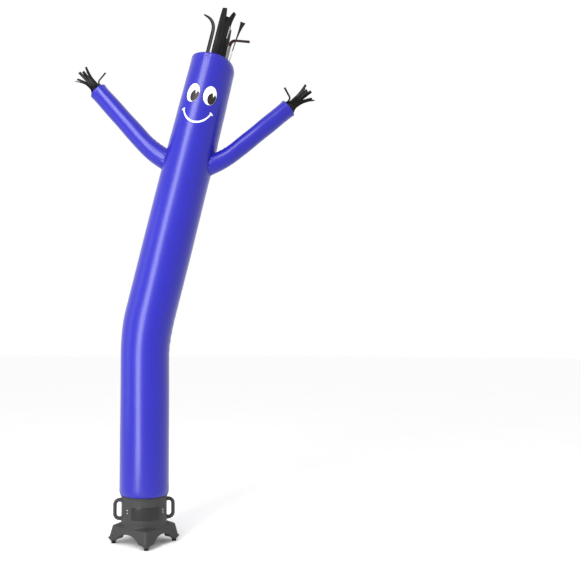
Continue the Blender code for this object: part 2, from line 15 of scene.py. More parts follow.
import bmesh
import bpy
import numpy as np
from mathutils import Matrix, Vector

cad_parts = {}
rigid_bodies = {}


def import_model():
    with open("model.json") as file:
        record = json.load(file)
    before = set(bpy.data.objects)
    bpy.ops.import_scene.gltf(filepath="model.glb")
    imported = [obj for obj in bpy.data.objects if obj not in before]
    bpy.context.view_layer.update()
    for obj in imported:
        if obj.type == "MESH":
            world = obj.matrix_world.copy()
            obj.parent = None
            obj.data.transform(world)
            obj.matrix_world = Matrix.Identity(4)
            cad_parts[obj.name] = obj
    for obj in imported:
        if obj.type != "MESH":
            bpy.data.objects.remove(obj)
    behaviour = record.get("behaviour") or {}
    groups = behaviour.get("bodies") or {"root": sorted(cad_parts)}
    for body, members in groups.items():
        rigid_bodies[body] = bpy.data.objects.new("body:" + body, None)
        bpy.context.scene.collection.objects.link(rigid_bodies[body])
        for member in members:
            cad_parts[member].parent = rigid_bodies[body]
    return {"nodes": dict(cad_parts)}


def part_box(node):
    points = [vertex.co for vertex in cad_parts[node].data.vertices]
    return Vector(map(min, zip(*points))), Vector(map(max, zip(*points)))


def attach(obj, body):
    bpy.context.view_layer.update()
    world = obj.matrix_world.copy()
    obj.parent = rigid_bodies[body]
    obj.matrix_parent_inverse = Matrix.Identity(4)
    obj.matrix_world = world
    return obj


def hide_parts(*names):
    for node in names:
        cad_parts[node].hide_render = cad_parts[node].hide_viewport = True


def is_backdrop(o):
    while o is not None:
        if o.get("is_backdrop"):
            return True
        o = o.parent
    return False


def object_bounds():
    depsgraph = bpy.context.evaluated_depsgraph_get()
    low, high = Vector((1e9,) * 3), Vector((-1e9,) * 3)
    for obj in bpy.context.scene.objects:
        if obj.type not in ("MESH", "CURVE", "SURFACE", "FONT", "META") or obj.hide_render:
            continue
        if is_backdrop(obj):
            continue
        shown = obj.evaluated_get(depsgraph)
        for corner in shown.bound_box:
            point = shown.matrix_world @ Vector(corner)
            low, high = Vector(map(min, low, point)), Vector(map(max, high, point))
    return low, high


for left_over in list(bpy.data.objects):
    bpy.data.objects.remove(left_over, do_unlink=True)

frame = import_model()
cad_low, cad_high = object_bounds()
print("solids:", len(frame["nodes"]), "box in metres:", [round(value, 3) for value in cad_high - cad_low])

# %% [markdown]
# ## Where things are
#
# Everything is measured from the blower's upright axis, which is the middle of the housing's box. The figure
# leans in one upright plane, turned a little from the blower's own front. Three unit vectors describe that
# plane: ACROSS runs to the viewer's right, BACK away from the viewer, and SKY up.

# %% The blower's axis and the plane of the figure
housing_low, housing_high = (np.array(corner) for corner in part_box("blower_housing"))
STAND = (housing_low + housing_high) / 2 * (1, 1, 0)
PLANE_TURN = math.radians(-8.2)
ACROSS = np.array((math.cos(PLANE_TURN), math.sin(PLANE_TURN), 0.0))
BACK = np.array((-math.sin(PLANE_TURN), math.cos(PLANE_TURN), 0.0))
SKY = np.array((0.0, 0.0, 1.0))
print("blower axis at", STAND.round(4))

# %% [markdown]
# ## Small tools for meshes
#
# Cloth is easiest to describe as a grid: rows along its length and columns round it. One function turns a
# grid into quads, and a second builds a mesh with a UV map in real metres, so that a weave or a printed
# pattern has its true size wherever the cloth goes.


# %% Grids, meshes and finished pieces
def grid_faces(rows, columns, around):
    """Quads of a grid of points. around joins the last column to the first."""
    here = np.arange(columns if around else columns - 1)[None, :]
    after = (here + 1) % columns
    low = np.arange(rows - 1)[:, None] * columns
    high = low + columns
    return np.stack([low + here, low + after, high + after, high + here], -1).reshape(-1, 4)


def corner_values(grid):
    """The value at each corner of each quad, for a grid with one more column than it has quads across."""
    return np.stack([grid[:-1, :-1], grid[:-1, 1:], grid[1:, 1:], grid[1:, :-1]], 2).reshape(-1, 4, 2)


def mesh_from(name, points, faces, corners=None):
    mesh = bpy.data.meshes.new(name)
    mesh.from_pydata(points.reshape(-1, 3).tolist(), [], faces.tolist())
    if corners is not None:
        layer = mesh.uv_layers.new(name="cloth")
        layer.data.foreach_set("uv", corners.astype(np.float32).ravel())
    mesh.shade_smooth()
    return mesh


def outward_faces(mesh, edit=None):
    """Runs edit on the mesh, if given, and turns every face outward."""
    shape = bmesh.new()
    shape.from_mesh(mesh)
    if edit:
        edit(shape)
    bmesh.ops.recalc_face_normals(shape, faces=shape.faces)
    shape.to_mesh(mesh)
    shape.free()
    mesh.shade_smooth()
    return mesh


def solid_skin(made, thickness, offset):
    """Gives a sheet its thickness: offset -1 grows it inward, 0 to both sides."""
    wall = made.modifiers.new("thickness", "SOLIDIFY")
    wall.thickness = thickness
    wall.offset = offset
    return made


def round_steps(count):
    """Angles of a full turn, without the last."""
    return math.tau * np.arange(count) / count


def chart_of(across, along):
    """A UV grid in metres from its two directions."""
    return np.stack(np.broadcast_arrays(across, along), -1)


def piece(name, mesh, finish, node=None):
    """A finished piece: at the origin, riding on the one body, with its finish."""
    mesh.name = name
    made = bpy.data.objects.new(name, mesh)
    bpy.context.scene.collection.objects.link(made)
    if finish is not None:
        mesh.materials.clear()
        mesh.materials.append(finish)
    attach(made, "root")
    if node:
        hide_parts(*([node] if isinstance(node, str) else node))
    print(f"{name}: {len(mesh.polygons)} faces")
    return made


# %% [markdown]
# A sewn sleeve is open at both ends, yet a mesh with open edges has no inside. So each sleeve is made as a
# closed wall: an outer grid, an inner grid turned to face the air inside, and a rim of quads at each end.


# %% A closed wall from two grids
def sleeve(name, outer, inner, chart):
    """chart is the UV grid in metres, one column wider than the points."""
    rows, columns = outer.shape[:2]
    quads = grid_faces(rows, columns, True)
    count = rows * columns
    here = np.arange(columns)
    after = (here + 1) % columns
    last = (rows - 1) * columns
    bottom = np.stack([after, here, here + count, after + count], -1)
    top = np.stack([last + here, last + after, last + after + count, last + here + count], -1)
    corners = corner_values(chart)
    bottom_uv = np.stack([chart[0, 1:], chart[0, :-1], chart[0, :-1], chart[0, 1:]], 1)
    top_uv = np.stack([chart[-1, :-1], chart[-1, 1:], chart[-1, 1:], chart[-1, :-1]], 1)
    return mesh_from(
        name,
        np.concatenate([outer.reshape(-1, 3), inner.reshape(-1, 3)]),
        np.concatenate([quads, quads[:, ::-1] + count, bottom, top]),
        np.concatenate([corners, corners[:, ::-1], bottom_uv, top_uv]),
    )


# %% [markdown]
# ## Small tools for node trees
#
# Materials and Geometry Nodes are both trees of nodes. One helper adds a node, sets its menus, and either
# links an input or gives it a value. Others make the few patterns that every finish below is mixed from.


# %% Adding nodes
def feed(tree, value, socket):
    """Gives a socket a value, or links it to an output or to a node's first output."""
    if isinstance(value, bpy.types.Node):
        value = value.outputs[0]
    if isinstance(value, bpy.types.NodeSocket):
        tree.links.new(value, socket)
    else:
        socket.default_value = value


def put(tree, kind, menus=None, inputs=None):
    """Adds a node. inputs maps an input's name or number to what feeds it."""
    made = tree.nodes.new(kind)
    for key, value in (menus or {}).items():
        setattr(made, key, value)
    for key, value in (inputs or {}).items():
        feed(tree, value, made.inputs[key])
    return made


def maths(tree, operation, first, second=0.0):
    return put(tree, "ShaderNodeMath", {"operation": operation}, {0: first, 1: second}).outputs[0]


def mixed(tree, share, first, second):
    """A colour between two, by a share from 0 to 1."""
    made = put(tree, "ShaderNodeMix", {"data_type": "RGBA"})
    for number, value in ((0, share), (6, first), (7, second)):
        feed(tree, (*value, 1.0) if isinstance(value, tuple) else value, made.inputs[number])
    return made.outputs[2]


def spread(tree, value, low, high):
    """Maps a pattern's 0 to 1 onto low to high."""
    made = put(tree, "ShaderNodeMapRange", None, {"Value": value, "To Min": low, "To Max": high})
    return made.outputs["Result"]


def noise(tree, place, scale, detail=2.0, **more):
    """A noise pattern's value, from 0 to 1."""
    inputs = {"Vector": place, "Scale": scale, "Detail": detail, **more}
    return put(tree, "ShaderNodeTexNoise", None, inputs).outputs[0]


def object_place(tree):
    return put(tree, "ShaderNodeTexCoord").outputs["Object"]


def finish(name, constants):
    """A new material, its tree and its shader. constants are values set on the shader's own sockets."""
    made = bpy.data.materials.new(name)
    made.use_nodes = True
    tree = made.node_tree
    shader = tree.nodes["Principled BSDF"]
    for key, value in constants.items():
        shader.inputs[key].default_value = value
    return made, tree, shader


def covered(tree, shader, colour, rough, height, depth, strength):
    """Feeds a shader its colour, its roughness and a bump whose depth is in metres."""
    bump = put(tree, "ShaderNodeBump", None, {"Height": height, "Distance": depth, "Strength": strength})
    for label, value in (("Base Color", colour), ("Roughness", rough), ("Normal", bump)):
        feed(tree, value, shader.inputs[label])


# %% [markdown]
# ## The nylon
#
# Air dancers are cut from light nylon with a coating that keeps the air in. Close up it is a plain weave with
# a thicker thread every few millimetres, which stops tears. From a distance the coating gives a soft, broad
# shine. The weave is made from two sets of waves on the cloth's own UV map, so it turns with the cloth, and a
# slow noise lets the dye vary a little. The sheen and coat are plain values on the shader.


# %% Woven patterns
THREAD = 0.0007
RIP = 0.0055  # from one thick thread to the next


def weave(tree, thread, rip):
    """Height of a plain weave with a thicker thread every rip metres, from the cloth's UV in metres."""
    flat = put(tree, "ShaderNodeUVMap", {"uv_map": "cloth"}).outputs["UV"]
    sides = put(tree, "ShaderNodeSeparateXYZ", None, {0: flat})
    heights = []
    for side in ("X", "Y"):
        fine = maths(tree, "SINE", maths(tree, "MULTIPLY", sides.outputs[side], math.tau / thread))
        beat = maths(tree, "PINGPONG", sides.outputs[side], rip / 2)
        thick = maths(tree, "LESS_THAN", beat, thread * 0.6)
        heights.append((fine, thick))
    (fine_a, thick_a), (fine_b, thick_b) = heights
    plain = spread(tree, maths(tree, "MULTIPLY", fine_a, fine_b), 0.0, 0.5)
    rips = maths(tree, "MAXIMUM", thick_a, thick_b)
    return flat, rips, maths(tree, "ADD", plain, maths(tree, "MULTIPLY", rips, 0.7))


def nylon(name, deep, light, roughness, constants):
    """Coated nylon whose dye varies between two colours."""
    made, tree, shader = finish(name, constants)
    flat, rips, height = weave(tree, THREAD, RIP)
    dye = mixed(tree, noise(tree, flat, 2.2, 3.0), deep, light)
    dye = mixed(tree, maths(tree, "MULTIPLY", rips, 0.12), dye, light)
    rough = spread(tree, noise(tree, flat, 160.0), roughness - 0.04, roughness + 0.05)
    covered(tree, shader, dye, rough, height, 0.00012, 0.4)
    return made


blue_nylon = nylon(
    "blue nylon",
    (0.003, 0.002, 0.27),
    (0.006, 0.004, 0.31),
    0.36,
    {"Sheen Weight": 0.06, "Sheen Roughness": 0.35, "Sheen Tint": (0.45, 0.48, 1.0, 1.0), "Coat Weight": 0.50,
     "Coat Roughness": 0.22, "Specular IOR Level": 0.28},
)
white_print = nylon(
    "white print", (0.78, 0.78, 0.80), (0.86, 0.86, 0.86), 0.45, {"Coat Weight": 0.12, "Coat Roughness": 0.35}
)
brown_print = nylon(
    "dark brown print", (0.010, 0.006, 0.005), (0.020, 0.014, 0.010), 0.40, {"Specular IOR Level": 0.3}
)
outline_print = nylon(
    "navy outline print", (0.012, 0.010, 0.075), (0.018, 0.014, 0.10), 0.42, {"Specular IOR Level": 0.3}
)
print("nylon finishes:", [made.name for made in (blue_nylon, white_print, brown_print, outline_print)])

# %% [markdown]
# ## The tube
#
# The tube follows a simple rule: a centre line that goes straight up, round one arc and straight on, with a
# radius at each distance from the hem. It could be lofted by hand, but a rule gives even quads, true UVs, and
# a function that says where any point of the cloth is. The printed face and every seam use that function, so
# they lie exactly on the cloth.

# %% The centre line's sizes, in metres from the hem
HEM_HEIGHT = 0.287
BEND_HEIGHT = 1.251
BEND_RADIUS = 1.15
LEAN = math.radians(13.9)
BEND_TANGENT = BEND_RADIUS * math.tan(LEAN / 2)
LOWER = BEND_HEIGHT - BEND_TANGENT - HEM_HEIGHT
BEND = BEND_RADIUS * LEAN
LENGTH = LOWER + BEND + 1.798 - BEND_TANGENT
TUBE_RADII = (
    ("hem edge", 0.000, 0.1440),
    ("hem fold", 0.006, 0.1465),
    ("collar", 0.015, 0.1495),
    ("skirt", 0.035, 0.1508),
    ("waist", 0.840, 0.1505),
    ("belly", 1.060, 0.1560),
    ("chest", 1.560, 0.1575),
    ("under the arms", 1.990, 0.1562),
    ("shoulders", 2.210, 0.1530),
    ("chin", 2.400, 0.1508),
    ("face", 2.580, 0.1478),
    ("brow", 2.700, 0.1452),
    ("rim fold", 2.755, 0.1440),
    ("rim", LENGTH, 0.1425),
)
GIRTH_RADIUS = 0.1535
print("tube length", round(LENGTH, 3), "flat width", round(math.tau * GIRTH_RADIUS, 3))


# %% Where the centre line is
def spine(along):
    """Centre, upward direction and rightward direction at distances from the hem."""
    along = np.asarray(along, float)
    angle = LEAN * np.clip((along - LOWER) / BEND, 0, 1)
    past = np.maximum(along - LOWER - BEND, 0)
    side = BEND_RADIUS * (1 - np.cos(angle)) + past * math.sin(LEAN)
    height = HEM_HEIGHT + np.minimum(along, LOWER) + BEND_RADIUS * np.sin(angle) + past * math.cos(LEAN)
    centre = STAND + side[..., None] * ACROSS + height[..., None] * SKY
    upward = np.sin(angle)[..., None] * ACROSS + np.cos(angle)[..., None] * SKY
    right = np.cos(angle)[..., None] * ACROSS - np.sin(angle)[..., None] * SKY
    return centre, upward, right


def eased(share):
    return share * share * (3 - 2 * share)


def tube_radius(along):
    rows = np.array([row[1:] for row in TUBE_RADII])
    step = np.clip(np.searchsorted(rows[:, 0], along, side="right") - 1, 0, len(rows) - 2)
    share = np.clip((along - rows[step, 0]) / (rows[step + 1, 0] - rows[step, 0]), 0, 1)
    return rows[step, 1] + (rows[step + 1, 1] - rows[step, 1]) * eased(share)


HEAD, UP, RIGHT = spine(LENGTH)


# %% [markdown]
# Two things stop a rule from looking too perfect. The open head rounds over a little on the side that it
# leans to, where the air spills out. And thin cloth puckers wherever a stitched edge holds it back: at the
# hem, at the rim, round the arm seams and on the inside of the bend. Each pucker is a small wave that fades
# away from the seam.


# %% Slump and puckers
def slumped(points):
    """The head rounds over on the leaning side."""
    below = -(points - HEAD) @ UP
    out = points - HEAD + below[..., None] * UP
    out = out / np.maximum(np.linalg.norm(out, axis=-1, keepdims=True), 1e-9)
    near = np.clip(1 - np.maximum(below, 0) / 0.055, 0, 1)
    side = np.maximum(out @ RIGHT, 0) ** 1.5
    return points - out * (0.020 * side * near**2)[..., None] - UP * (0.004 * side * near)[..., None]


SHOULDERS = (  # angle round the tube, distance from the hem, half height of the seam
    ("left", math.radians(-102), 2.118, 0.075),
    ("right", math.radians(79), 2.130, 0.068),
)


def wobble(angle, seed):
    """A smooth, repeatable unevenness round the tube."""
    return sum(np.sin(angle * turns + seed * turns) / turns for turns in (2, 3, 5, 7))


def puckers(along, angle):
    """How far the cloth stands off its true radius, in metres."""
    hem = 0.0018 * np.exp(-along / 0.045) * np.sin(46 * angle + 1.4 * wobble(angle, 1.0))
    rim = 0.0014 * np.exp(-(LENGTH - along) / 0.040) * np.sin(38 * angle + 1.6 * wobble(angle, 2.0))
    bend = np.exp(-(((along - LOWER - BEND / 2) / 0.16) ** 2)) * np.maximum(np.sin(angle), 0) ** 3
    bend = 0.0011 * bend * np.sin(along * math.tau / 0.062 + 1.1 * wobble(angle, 3.0))
    total = hem + rim + bend
    for _, where, height, half in SHOULDERS:
        turn = (angle - where + math.pi) % math.tau - math.pi
        across, up = turn * GIRTH_RADIUS, (along - height) * 0.80
        away = np.hypot(across, up)
        around = np.arctan2(up, across)
        total = total + 0.0016 * np.exp(-np.abs(away - half) / 0.030) * np.sin(17 * around + where)
    drift = 0.0007 * np.sin(along * 5.1 + 1.7 * np.sin(angle)) * np.sin(2 * angle + along * 2.3)
    return total + drift


def tube_point(along, angle, lift=0.0):
    """A point of the outer cloth. Angle 0 faces the viewer and grows to the right."""
    along, angle = np.broadcast_arrays(np.asarray(along, float), np.asarray(angle, float))
    centre, _, right = spine(along)
    outward = right * np.sin(angle)[..., None] - BACK * np.cos(angle)[..., None]
    reach = tube_radius(along) + puckers(along, angle) + lift
    return slumped(centre + outward * reach[..., None])


# %% Build the tube
TUBE_COLUMNS = 128
CLOTH = 0.0009
ends = np.array([0.0, 0.002, 0.004, 0.006, 0.009, 0.012, 0.016, 0.020, 0.026, 0.033])
middle = np.linspace(0.042, LENGTH - 0.060, 205)
rim_rows = LENGTH - np.linspace(0.052, 0.0, 14)
tube_rows = np.concatenate([ends, middle, rim_rows])[:, None]
tube_columns = -math.pi + math.tau * np.arange(TUBE_COLUMNS + 1)[None, :] / TUBE_COLUMNS
outer = tube_point(tube_rows, tube_columns[:, :-1])
inner = tube_point(tube_rows, tube_columns[:, :-1], -CLOTH)
chart = chart_of(tube_columns * GIRTH_RADIUS, tube_rows)
LENGTHS = [f"dancer_tube_{part}" for part in ("hem", "waist", "bend", "chest", "shoulders", "head")]
tube = piece("dancer_cloth", sleeve("dancer_cloth", outer, inner, chart), blue_nylon, LENGTHS)

# %% [markdown]
# ## The arms
#
# Each arm is a narrower sleeve that starts at a shoulder, turns up over its first third and then runs
# straight. The sleeve has to end exactly on the body, so for each line along the arm the script searches for
# the place where it leaves the tube. Those places together are the arm's seam.

# %% The arms' sizes
ARMS = (
    dict(name="left", side=-1, along=2.080, root=12, rise=(34, 49), turn=7, length=0.648,
         radii=(0.0655, 0.0605, 0.0575)),
    dict(name="right", side=1, along=2.105, root=-11, rise=(24, 38.5), turn=-6, length=0.590,
         radii=(0.0585, 0.0548, 0.0550)),
)
ARM_BEND_SHARE = 0.35
ARM_GIRTH_RADIUS = 0.058
ARM_TUCK = 0.003  # how far each sleeve runs on inside the body
ARM_REACH_BACK = 0.10  # how far the line is drawn back into the body to look for the seam
ARM_COLUMNS = 72
ARM_ROWS = 110


# %% An arm's line and its sleeve
class Arm:
    def __init__(self, row):
        self.row, self.name, self.length = row, row["name"], row["length"]
        side, root = row["side"], math.radians(row["root"])
        centre, _, right = spine(row["along"])
        outward = right * side * math.cos(root) + BACK * math.sin(root)
        self.root = centre + outward * tube_radius(row["along"])
        steps = np.linspace(0, 1, 161)
        middles = (steps[1:] + steps[:-1]) / 2
        moves = self.direction(middles) * self.length / 160
        line = self.root + np.concatenate([np.zeros((1, 3)), np.cumsum(moves, 0)])
        before = self.root - self.direction(0.0) * ARM_REACH_BACK
        self.shares = np.concatenate([[-ARM_REACH_BACK / self.length], steps])
        self.line = np.vstack([before, line])

    def direction(self, share):
        low, high = self.row["rise"]
        bent = eased(np.clip(np.asarray(share, float) / ARM_BEND_SHARE, 0, 1))
        rise = np.radians(low + (high - low) * bent)
        turn = math.radians(self.row["turn"])
        level = np.cos(rise)
        return (
            (self.row["side"] * level * math.cos(turn))[..., None] * ACROSS
            + (level * math.sin(turn))[..., None] * BACK
            + np.sin(rise)[..., None] * SKY
        )

    def radius(self, share):
        shoulder, middle, cuff = self.row["radii"]
        return np.interp(share, (0, 0.3, 0.97, 1.0), (shoulder, middle, cuff, cuff + 0.0012))

    def frame(self, share):
        axis = self.direction(share)
        first = np.cross(axis, BACK)
        first = first / np.linalg.norm(first, axis=-1, keepdims=True)
        return axis, first, np.cross(axis, first)

    def point(self, share, angle, lift=0.0):
        share, angle = np.broadcast_arrays(np.asarray(share, float), np.asarray(angle, float))
        centre = np.stack([np.interp(share, self.shares, self.line[:, k]) for k in range(3)], -1)
        _, first, second = self.frame(share)
        reach = self.radius(share) + lift
        outward = first * np.cos(angle)[..., None] + second * np.sin(angle)[..., None]
        return centre + outward * reach[..., None]

    def seam(self, angle):
        """The share of the length at which each line along the arm leaves the body."""
        low, high = np.full_like(angle, -ARM_REACH_BACK / self.length), np.full_like(angle, 0.45)
        start = spine(LOWER + BEND)[0]
        for _ in range(30):
            half = (low + high) / 2
            offset = self.point(half, angle) - start
            climbed = offset @ UP
            away = np.linalg.norm(offset - climbed[..., None] * UP, axis=-1)
            inside = away < tube_radius(LOWER + BEND + climbed) + 0.0002
            low, high = np.where(inside, half, low), np.where(inside, high, half)
        return (low + high) / 2

    def puckers(self, along, share, angle):
        """along is the distance from the seam."""
        root = 0.0015 * np.exp(-along / 0.022) * np.sin(21 * angle + wobble(angle, 4.0))
        cuff = 0.0016 * np.exp(-(1 - share) * self.length / 0.026) * np.sin(18 * angle + wobble(angle, 5.0))
        crook = np.exp(-(((share - 0.17) / 0.10) ** 2)) * np.maximum(self.upward(angle), 0) ** 2
        crook = 0.0013 * crook * np.sin(along * math.tau / 0.034 + wobble(angle, 6.0))
        return root + cuff + crook + 0.0006 * np.sin(share * 19 + 2 * angle)

    def upward(self, angle):
        """How far a line along the arm faces up, from -1 to 1."""
        _, first, _ = self.frame(0.5)
        return np.cos(angle) * np.sign(first[2])


arms = [Arm(row) for row in ARMS]
for arm in arms:
    angles = math.tau * np.arange(ARM_COLUMNS + 1)[None, :] / ARM_COLUMNS
    seam = arm.seam(angles)
    rows = np.linspace(0, 1, ARM_ROWS)[:, None] ** 1.08
    tuck = ARM_TUCK / arm.length
    share = seam - tuck + (1 - seam + tuck) * rows
    along = (share - seam) * arm.length
    lift = arm.puckers(along, share, angles)
    outer = arm.point(share, angles, lift)[:, :-1]
    inner = arm.point(share, angles, lift - CLOTH)[:, :-1]
    chart = chart_of(angles * ARM_GIRTH_RADIUS, share * arm.length)
    made = sleeve(f"arm_cloth_{arm.name}", outer, inner, chart)
    arm.cloth = piece(f"arm_cloth_{arm.name}", made, blue_nylon, f"arm_{arm.name}")
    print(arm.name, "seam lies at", (np.array((seam.min(), seam.max())) * arm.length).round(3))

# %% [markdown]
# ## The printed face
#
# Eyes and smile are printed on the head. They could be painted by the material, but a print has a crisp edge,
# and a mesh patch keeps that edge at any distance. Each patch is drawn flat, as distance round and along the
# tube, then laid on the cloth with the tube's own function and lifted by a fraction of a millimetre.

# %% Sizes of the face, in metres on the cloth
FACE_ROUND = -0.0175  # the face's middle, round the tube from its front
EYE_ALONG = 2.490
EYE_APART = 0.0575
EYE_HALF = np.array((0.0440, 0.0605))
PUPIL_OFFSET = np.array((0.0160, -0.0190))
PUPIL_HALF = np.array((0.0300, 0.0390))
GLINT_OFFSET = np.array((0.0060, 0.0270))
GLINT_HALF = np.array((0.0070, 0.0150))
OUTLINE = 0.0022
SMILE_HALF = 0.0930
SMILE_ENDS = 2.3890
SMILE_DEPTH = 0.0835
SMILE_WIDTHS = (0.0080, 0.0124)  # at the ends and at the bottom
PRINT_SKIN = 0.00015


# %% Lay a flat shape on the cloth
def laid(name, flat, faces, lift, finish_used):
    """flat holds (distance round, distance along). The patch becomes a thin closed skin."""
    top = tube_point(flat[..., 1], flat[..., 0] / GIRTH_RADIUS, lift)
    uv = flat.reshape(-1, 2)[faces]
    return solid_skin(piece(name, mesh_from(name, top, faces, uv), finish_used), PRINT_SKIN, -1)


def disc(name, outline, centre, lift, finish_used, rings=14):
    """A filled outline, drawn as rings round a small middle quad fan."""
    shares = np.linspace(1.0, 0.0, rings + 1)[:-1]
    flat = np.stack([centre + (outline - centre) * share for share in shares])
    columns = len(outline)
    faces = grid_faces(rings, columns, True)[:, ::-1]
    hub = rings * columns
    last = (rings - 1) * columns
    here = np.arange(columns)
    fan = np.stack([last + here, last + (here + 1) % columns, np.full(columns, hub)], -1)
    points = np.concatenate([flat.reshape(-1, 2), centre[None]])
    quads = [tuple(face) for face in faces]
    mesh = bpy.data.meshes.new(name)
    places = tube_point(points[:, 1], points[:, 0] / GIRTH_RADIUS, lift)
    mesh.from_pydata(places.tolist(), [], quads + [tuple(face) for face in fan])
    layer = mesh.uv_layers.new(name="cloth")
    order = np.concatenate([faces.ravel(), fan.ravel()])
    layer.data.foreach_set("uv", points[order].astype(np.float32).ravel())
    outward_faces(mesh)
    if sum((face.normal * face.area for face in mesh.polygons), Vector()).dot(Vector(-BACK)) < 0:
        mesh.flip_normals()
    return solid_skin(piece(name, mesh, finish_used), PRINT_SKIN, -1)


def oval(centre, half, steps=72):
    turn = round_steps(steps)
    return centre + half * np.stack([np.cos(turn), np.sin(turn)], -1)


# %% The two eyes
face_pieces = []
for side, label in ((-1, "left"), (1, "right")):
    eye = np.array((FACE_ROUND + side * EYE_APART, EYE_ALONG))
    pupil_centre = eye + PUPIL_OFFSET
    pupil = oval(pupil_centre, PUPIL_HALF)
    stray = np.linalg.norm((pupil - eye) / (EYE_HALF - 0.0012), axis=-1, keepdims=True)
    pupil = eye + (pupil - eye) / np.maximum(stray, 1.0)
    glint_centre = pupil_centre + GLINT_OFFSET
    glint = oval(glint_centre, GLINT_HALF, 32)
    # The glint is drawn in toward its lower end, like a drop upside down
    narrowed = np.clip((glint[:, 1] - glint_centre[1] + 0.015) / 0.022, 0.1, 1.2)
    glint[:, 0] = glint_centre[0] + (glint[:, 0] - glint_centre[0]) * narrowed
    face_pieces += [
        disc(f"eye_outline_{label}", oval(eye, EYE_HALF + OUTLINE), eye, 0.0004, outline_print),
        disc(f"eye_white_{label}", oval(eye, EYE_HALF), eye, 0.0006, white_print),
        disc(f"pupil_{label}", pupil, pupil_centre, 0.0008, brown_print),
        disc(f"glint_{label}", glint, glint_centre, 0.0010, white_print, 6),
    ]

# %% The smile, with a small tick at each end
steps = np.linspace(-1, 1, 97)
bow = 0.5 * steps**2 + 0.5 * (1 - np.sqrt(np.maximum(1 - (0.985 * steps) ** 2, 0)))
line = np.stack([FACE_ROUND - 0.003 + SMILE_HALF * steps, SMILE_ENDS - SMILE_DEPTH * (1 - bow)], -1)
heading = np.gradient(line, axis=0)
heading /= np.linalg.norm(heading, axis=-1, keepdims=True)
across = np.stack([-heading[:, 1], heading[:, 0]], -1)
width = SMILE_WIDTHS[0] + (SMILE_WIDTHS[1] - SMILE_WIDTHS[0]) * (1 - steps**2)
stroke = line[:, None] + across[:, None] * (width[:, None, None] * np.linspace(-0.5, 0.5, 4)[None, :, None])
faces = grid_faces(len(steps), 4, False)[:, ::-1]
face_pieces.append(laid("smile", stroke, faces, 0.0006, white_print))
for side, label in ((-1, "left"), (1, "right")):
    end = line[0] if side < 0 else line[-1]
    tick = oval(end + (side * 0.003, 0.002), np.array((0.0135, 0.0060)), 24)
    turn = side * math.radians(-28)
    spin = np.array([[math.cos(turn), math.sin(turn)], [-math.sin(turn), math.cos(turn)]])
    tick = end + (tick - end) @ spin
    face_pieces.append(disc(f"smile_tick_{label}", tick, end, 0.0007, white_print, 5))
print("face pieces:", len(face_pieces))

# %% [markdown]
# ## Stitches
#
# Seams are what tell cloth from plastic. A stitch repeats hundreds of times along a line, which is work for
# Geometry Nodes: the tree takes a line, puts a point every few millimetres, and lays one short, low-sided
# thread at each. Its sizes are named inputs, and it ends by making the copies real and giving them their
# thread, so that the result is a plain mesh.


# %% A Geometry Nodes tree and a way to run it
def new_tree(name, sockets):
    """sockets holds (name, kind, value)."""
    tree = bpy.data.node_groups.new(name, "GeometryNodeTree")
    tree.interface.new_socket("Geometry", in_out="INPUT", socket_type="NodeSocketGeometry")
    for label, kind, value in sockets:
        made = tree.interface.new_socket(label, in_out="INPUT", socket_type=f"NodeSocket{kind}")
        if value is not None:
            made.default_value = value
    tree.interface.new_socket("Geometry", in_out="OUTPUT", socket_type="NodeSocketGeometry")
    return tree, put(tree, "NodeGroupInput"), put(tree, "NodeGroupOutput")


def ended(tree, given, result, geometry):
    """Ends a tree: the copies are made real and given their finish."""
    real = put(tree, "GeometryNodeRealizeInstances", None, {"Geometry": geometry})
    made = put(tree, "GeometryNodeSetMaterial", None, {"Geometry": real, "Material": given.outputs["Finish"]})
    feed(tree, made, result.inputs["Geometry"])
    print(tree.name + ":", len(tree.nodes), "nodes")


def grown(name, start, tree, values):
    """Runs a tree on a mesh and returns what it makes as a plain mesh."""
    seed = bpy.data.objects.new(name, start)
    bpy.context.scene.collection.objects.link(seed)
    modifier = seed.modifiers.new("grow", "NODES")
    modifier.node_group = tree
    sockets = {item.name: item.identifier for item in tree.interface.items_tree if item.in_out == "INPUT"}
    for label, value in values.items():
        modifier[sockets[label]] = value
    made = bpy.data.meshes.new_from_object(seed.evaluated_get(bpy.context.evaluated_depsgraph_get()))
    bpy.data.objects.remove(seed)
    return made


def lines_mesh(name, lines):
    """Polylines as one mesh of edges. Each is an array of points and whether it closes on itself."""
    points = np.concatenate([line for line, _ in lines])
    edges, first = [], 0
    for line, closes in lines:
        count = len(line)
        edges += [(first + step, first + step + 1) for step in range(count - 1)]
        edges += [(first + count - 1, first)] if closes else []
        first += count
    mesh = bpy.data.meshes.new(name)
    mesh.from_pydata(points.tolist(), edges, [])
    return mesh


# %% The stitch tree
stitch_tree, given, result = new_tree(
    "stitches along a line",
    (("Spacing", "Float", 0.006), ("Stitch length", "Float", 0.004), ("Thread", "Float", 0.0005),
     ("Finish", "Material", None)),
)
path = put(stitch_tree, "GeometryNodeMeshToCurve", None, {"Mesh": given.outputs["Geometry"]})
spots = put(stitch_tree, "GeometryNodeCurveToPoints", {"mode": "LENGTH"},
            {"Curve": path, "Length": given.outputs["Spacing"]})
turn = put(stitch_tree, "FunctionNodeAlignRotationToVector", {"axis": "Z"},
           {"Vector": spots.outputs["Tangent"]})
thread = put(stitch_tree, "GeometryNodeMeshUVSphere", None,
             {"Segments": 6, "Rings": 4, "Radius": given.outputs["Thread"]})
stretch = maths(stitch_tree, "DIVIDE", given.outputs["Stitch length"], given.outputs["Thread"])
size = put(stitch_tree, "ShaderNodeCombineXYZ", None,
           {"X": 1.0, "Y": 1.0, "Z": maths(stitch_tree, "MULTIPLY", stretch, 0.5)})
copies = put(stitch_tree, "GeometryNodeInstanceOnPoints", None,
             {"Points": spots, "Instance": thread, "Rotation": turn, "Scale": size})
ended(stitch_tree, given, result, copies)

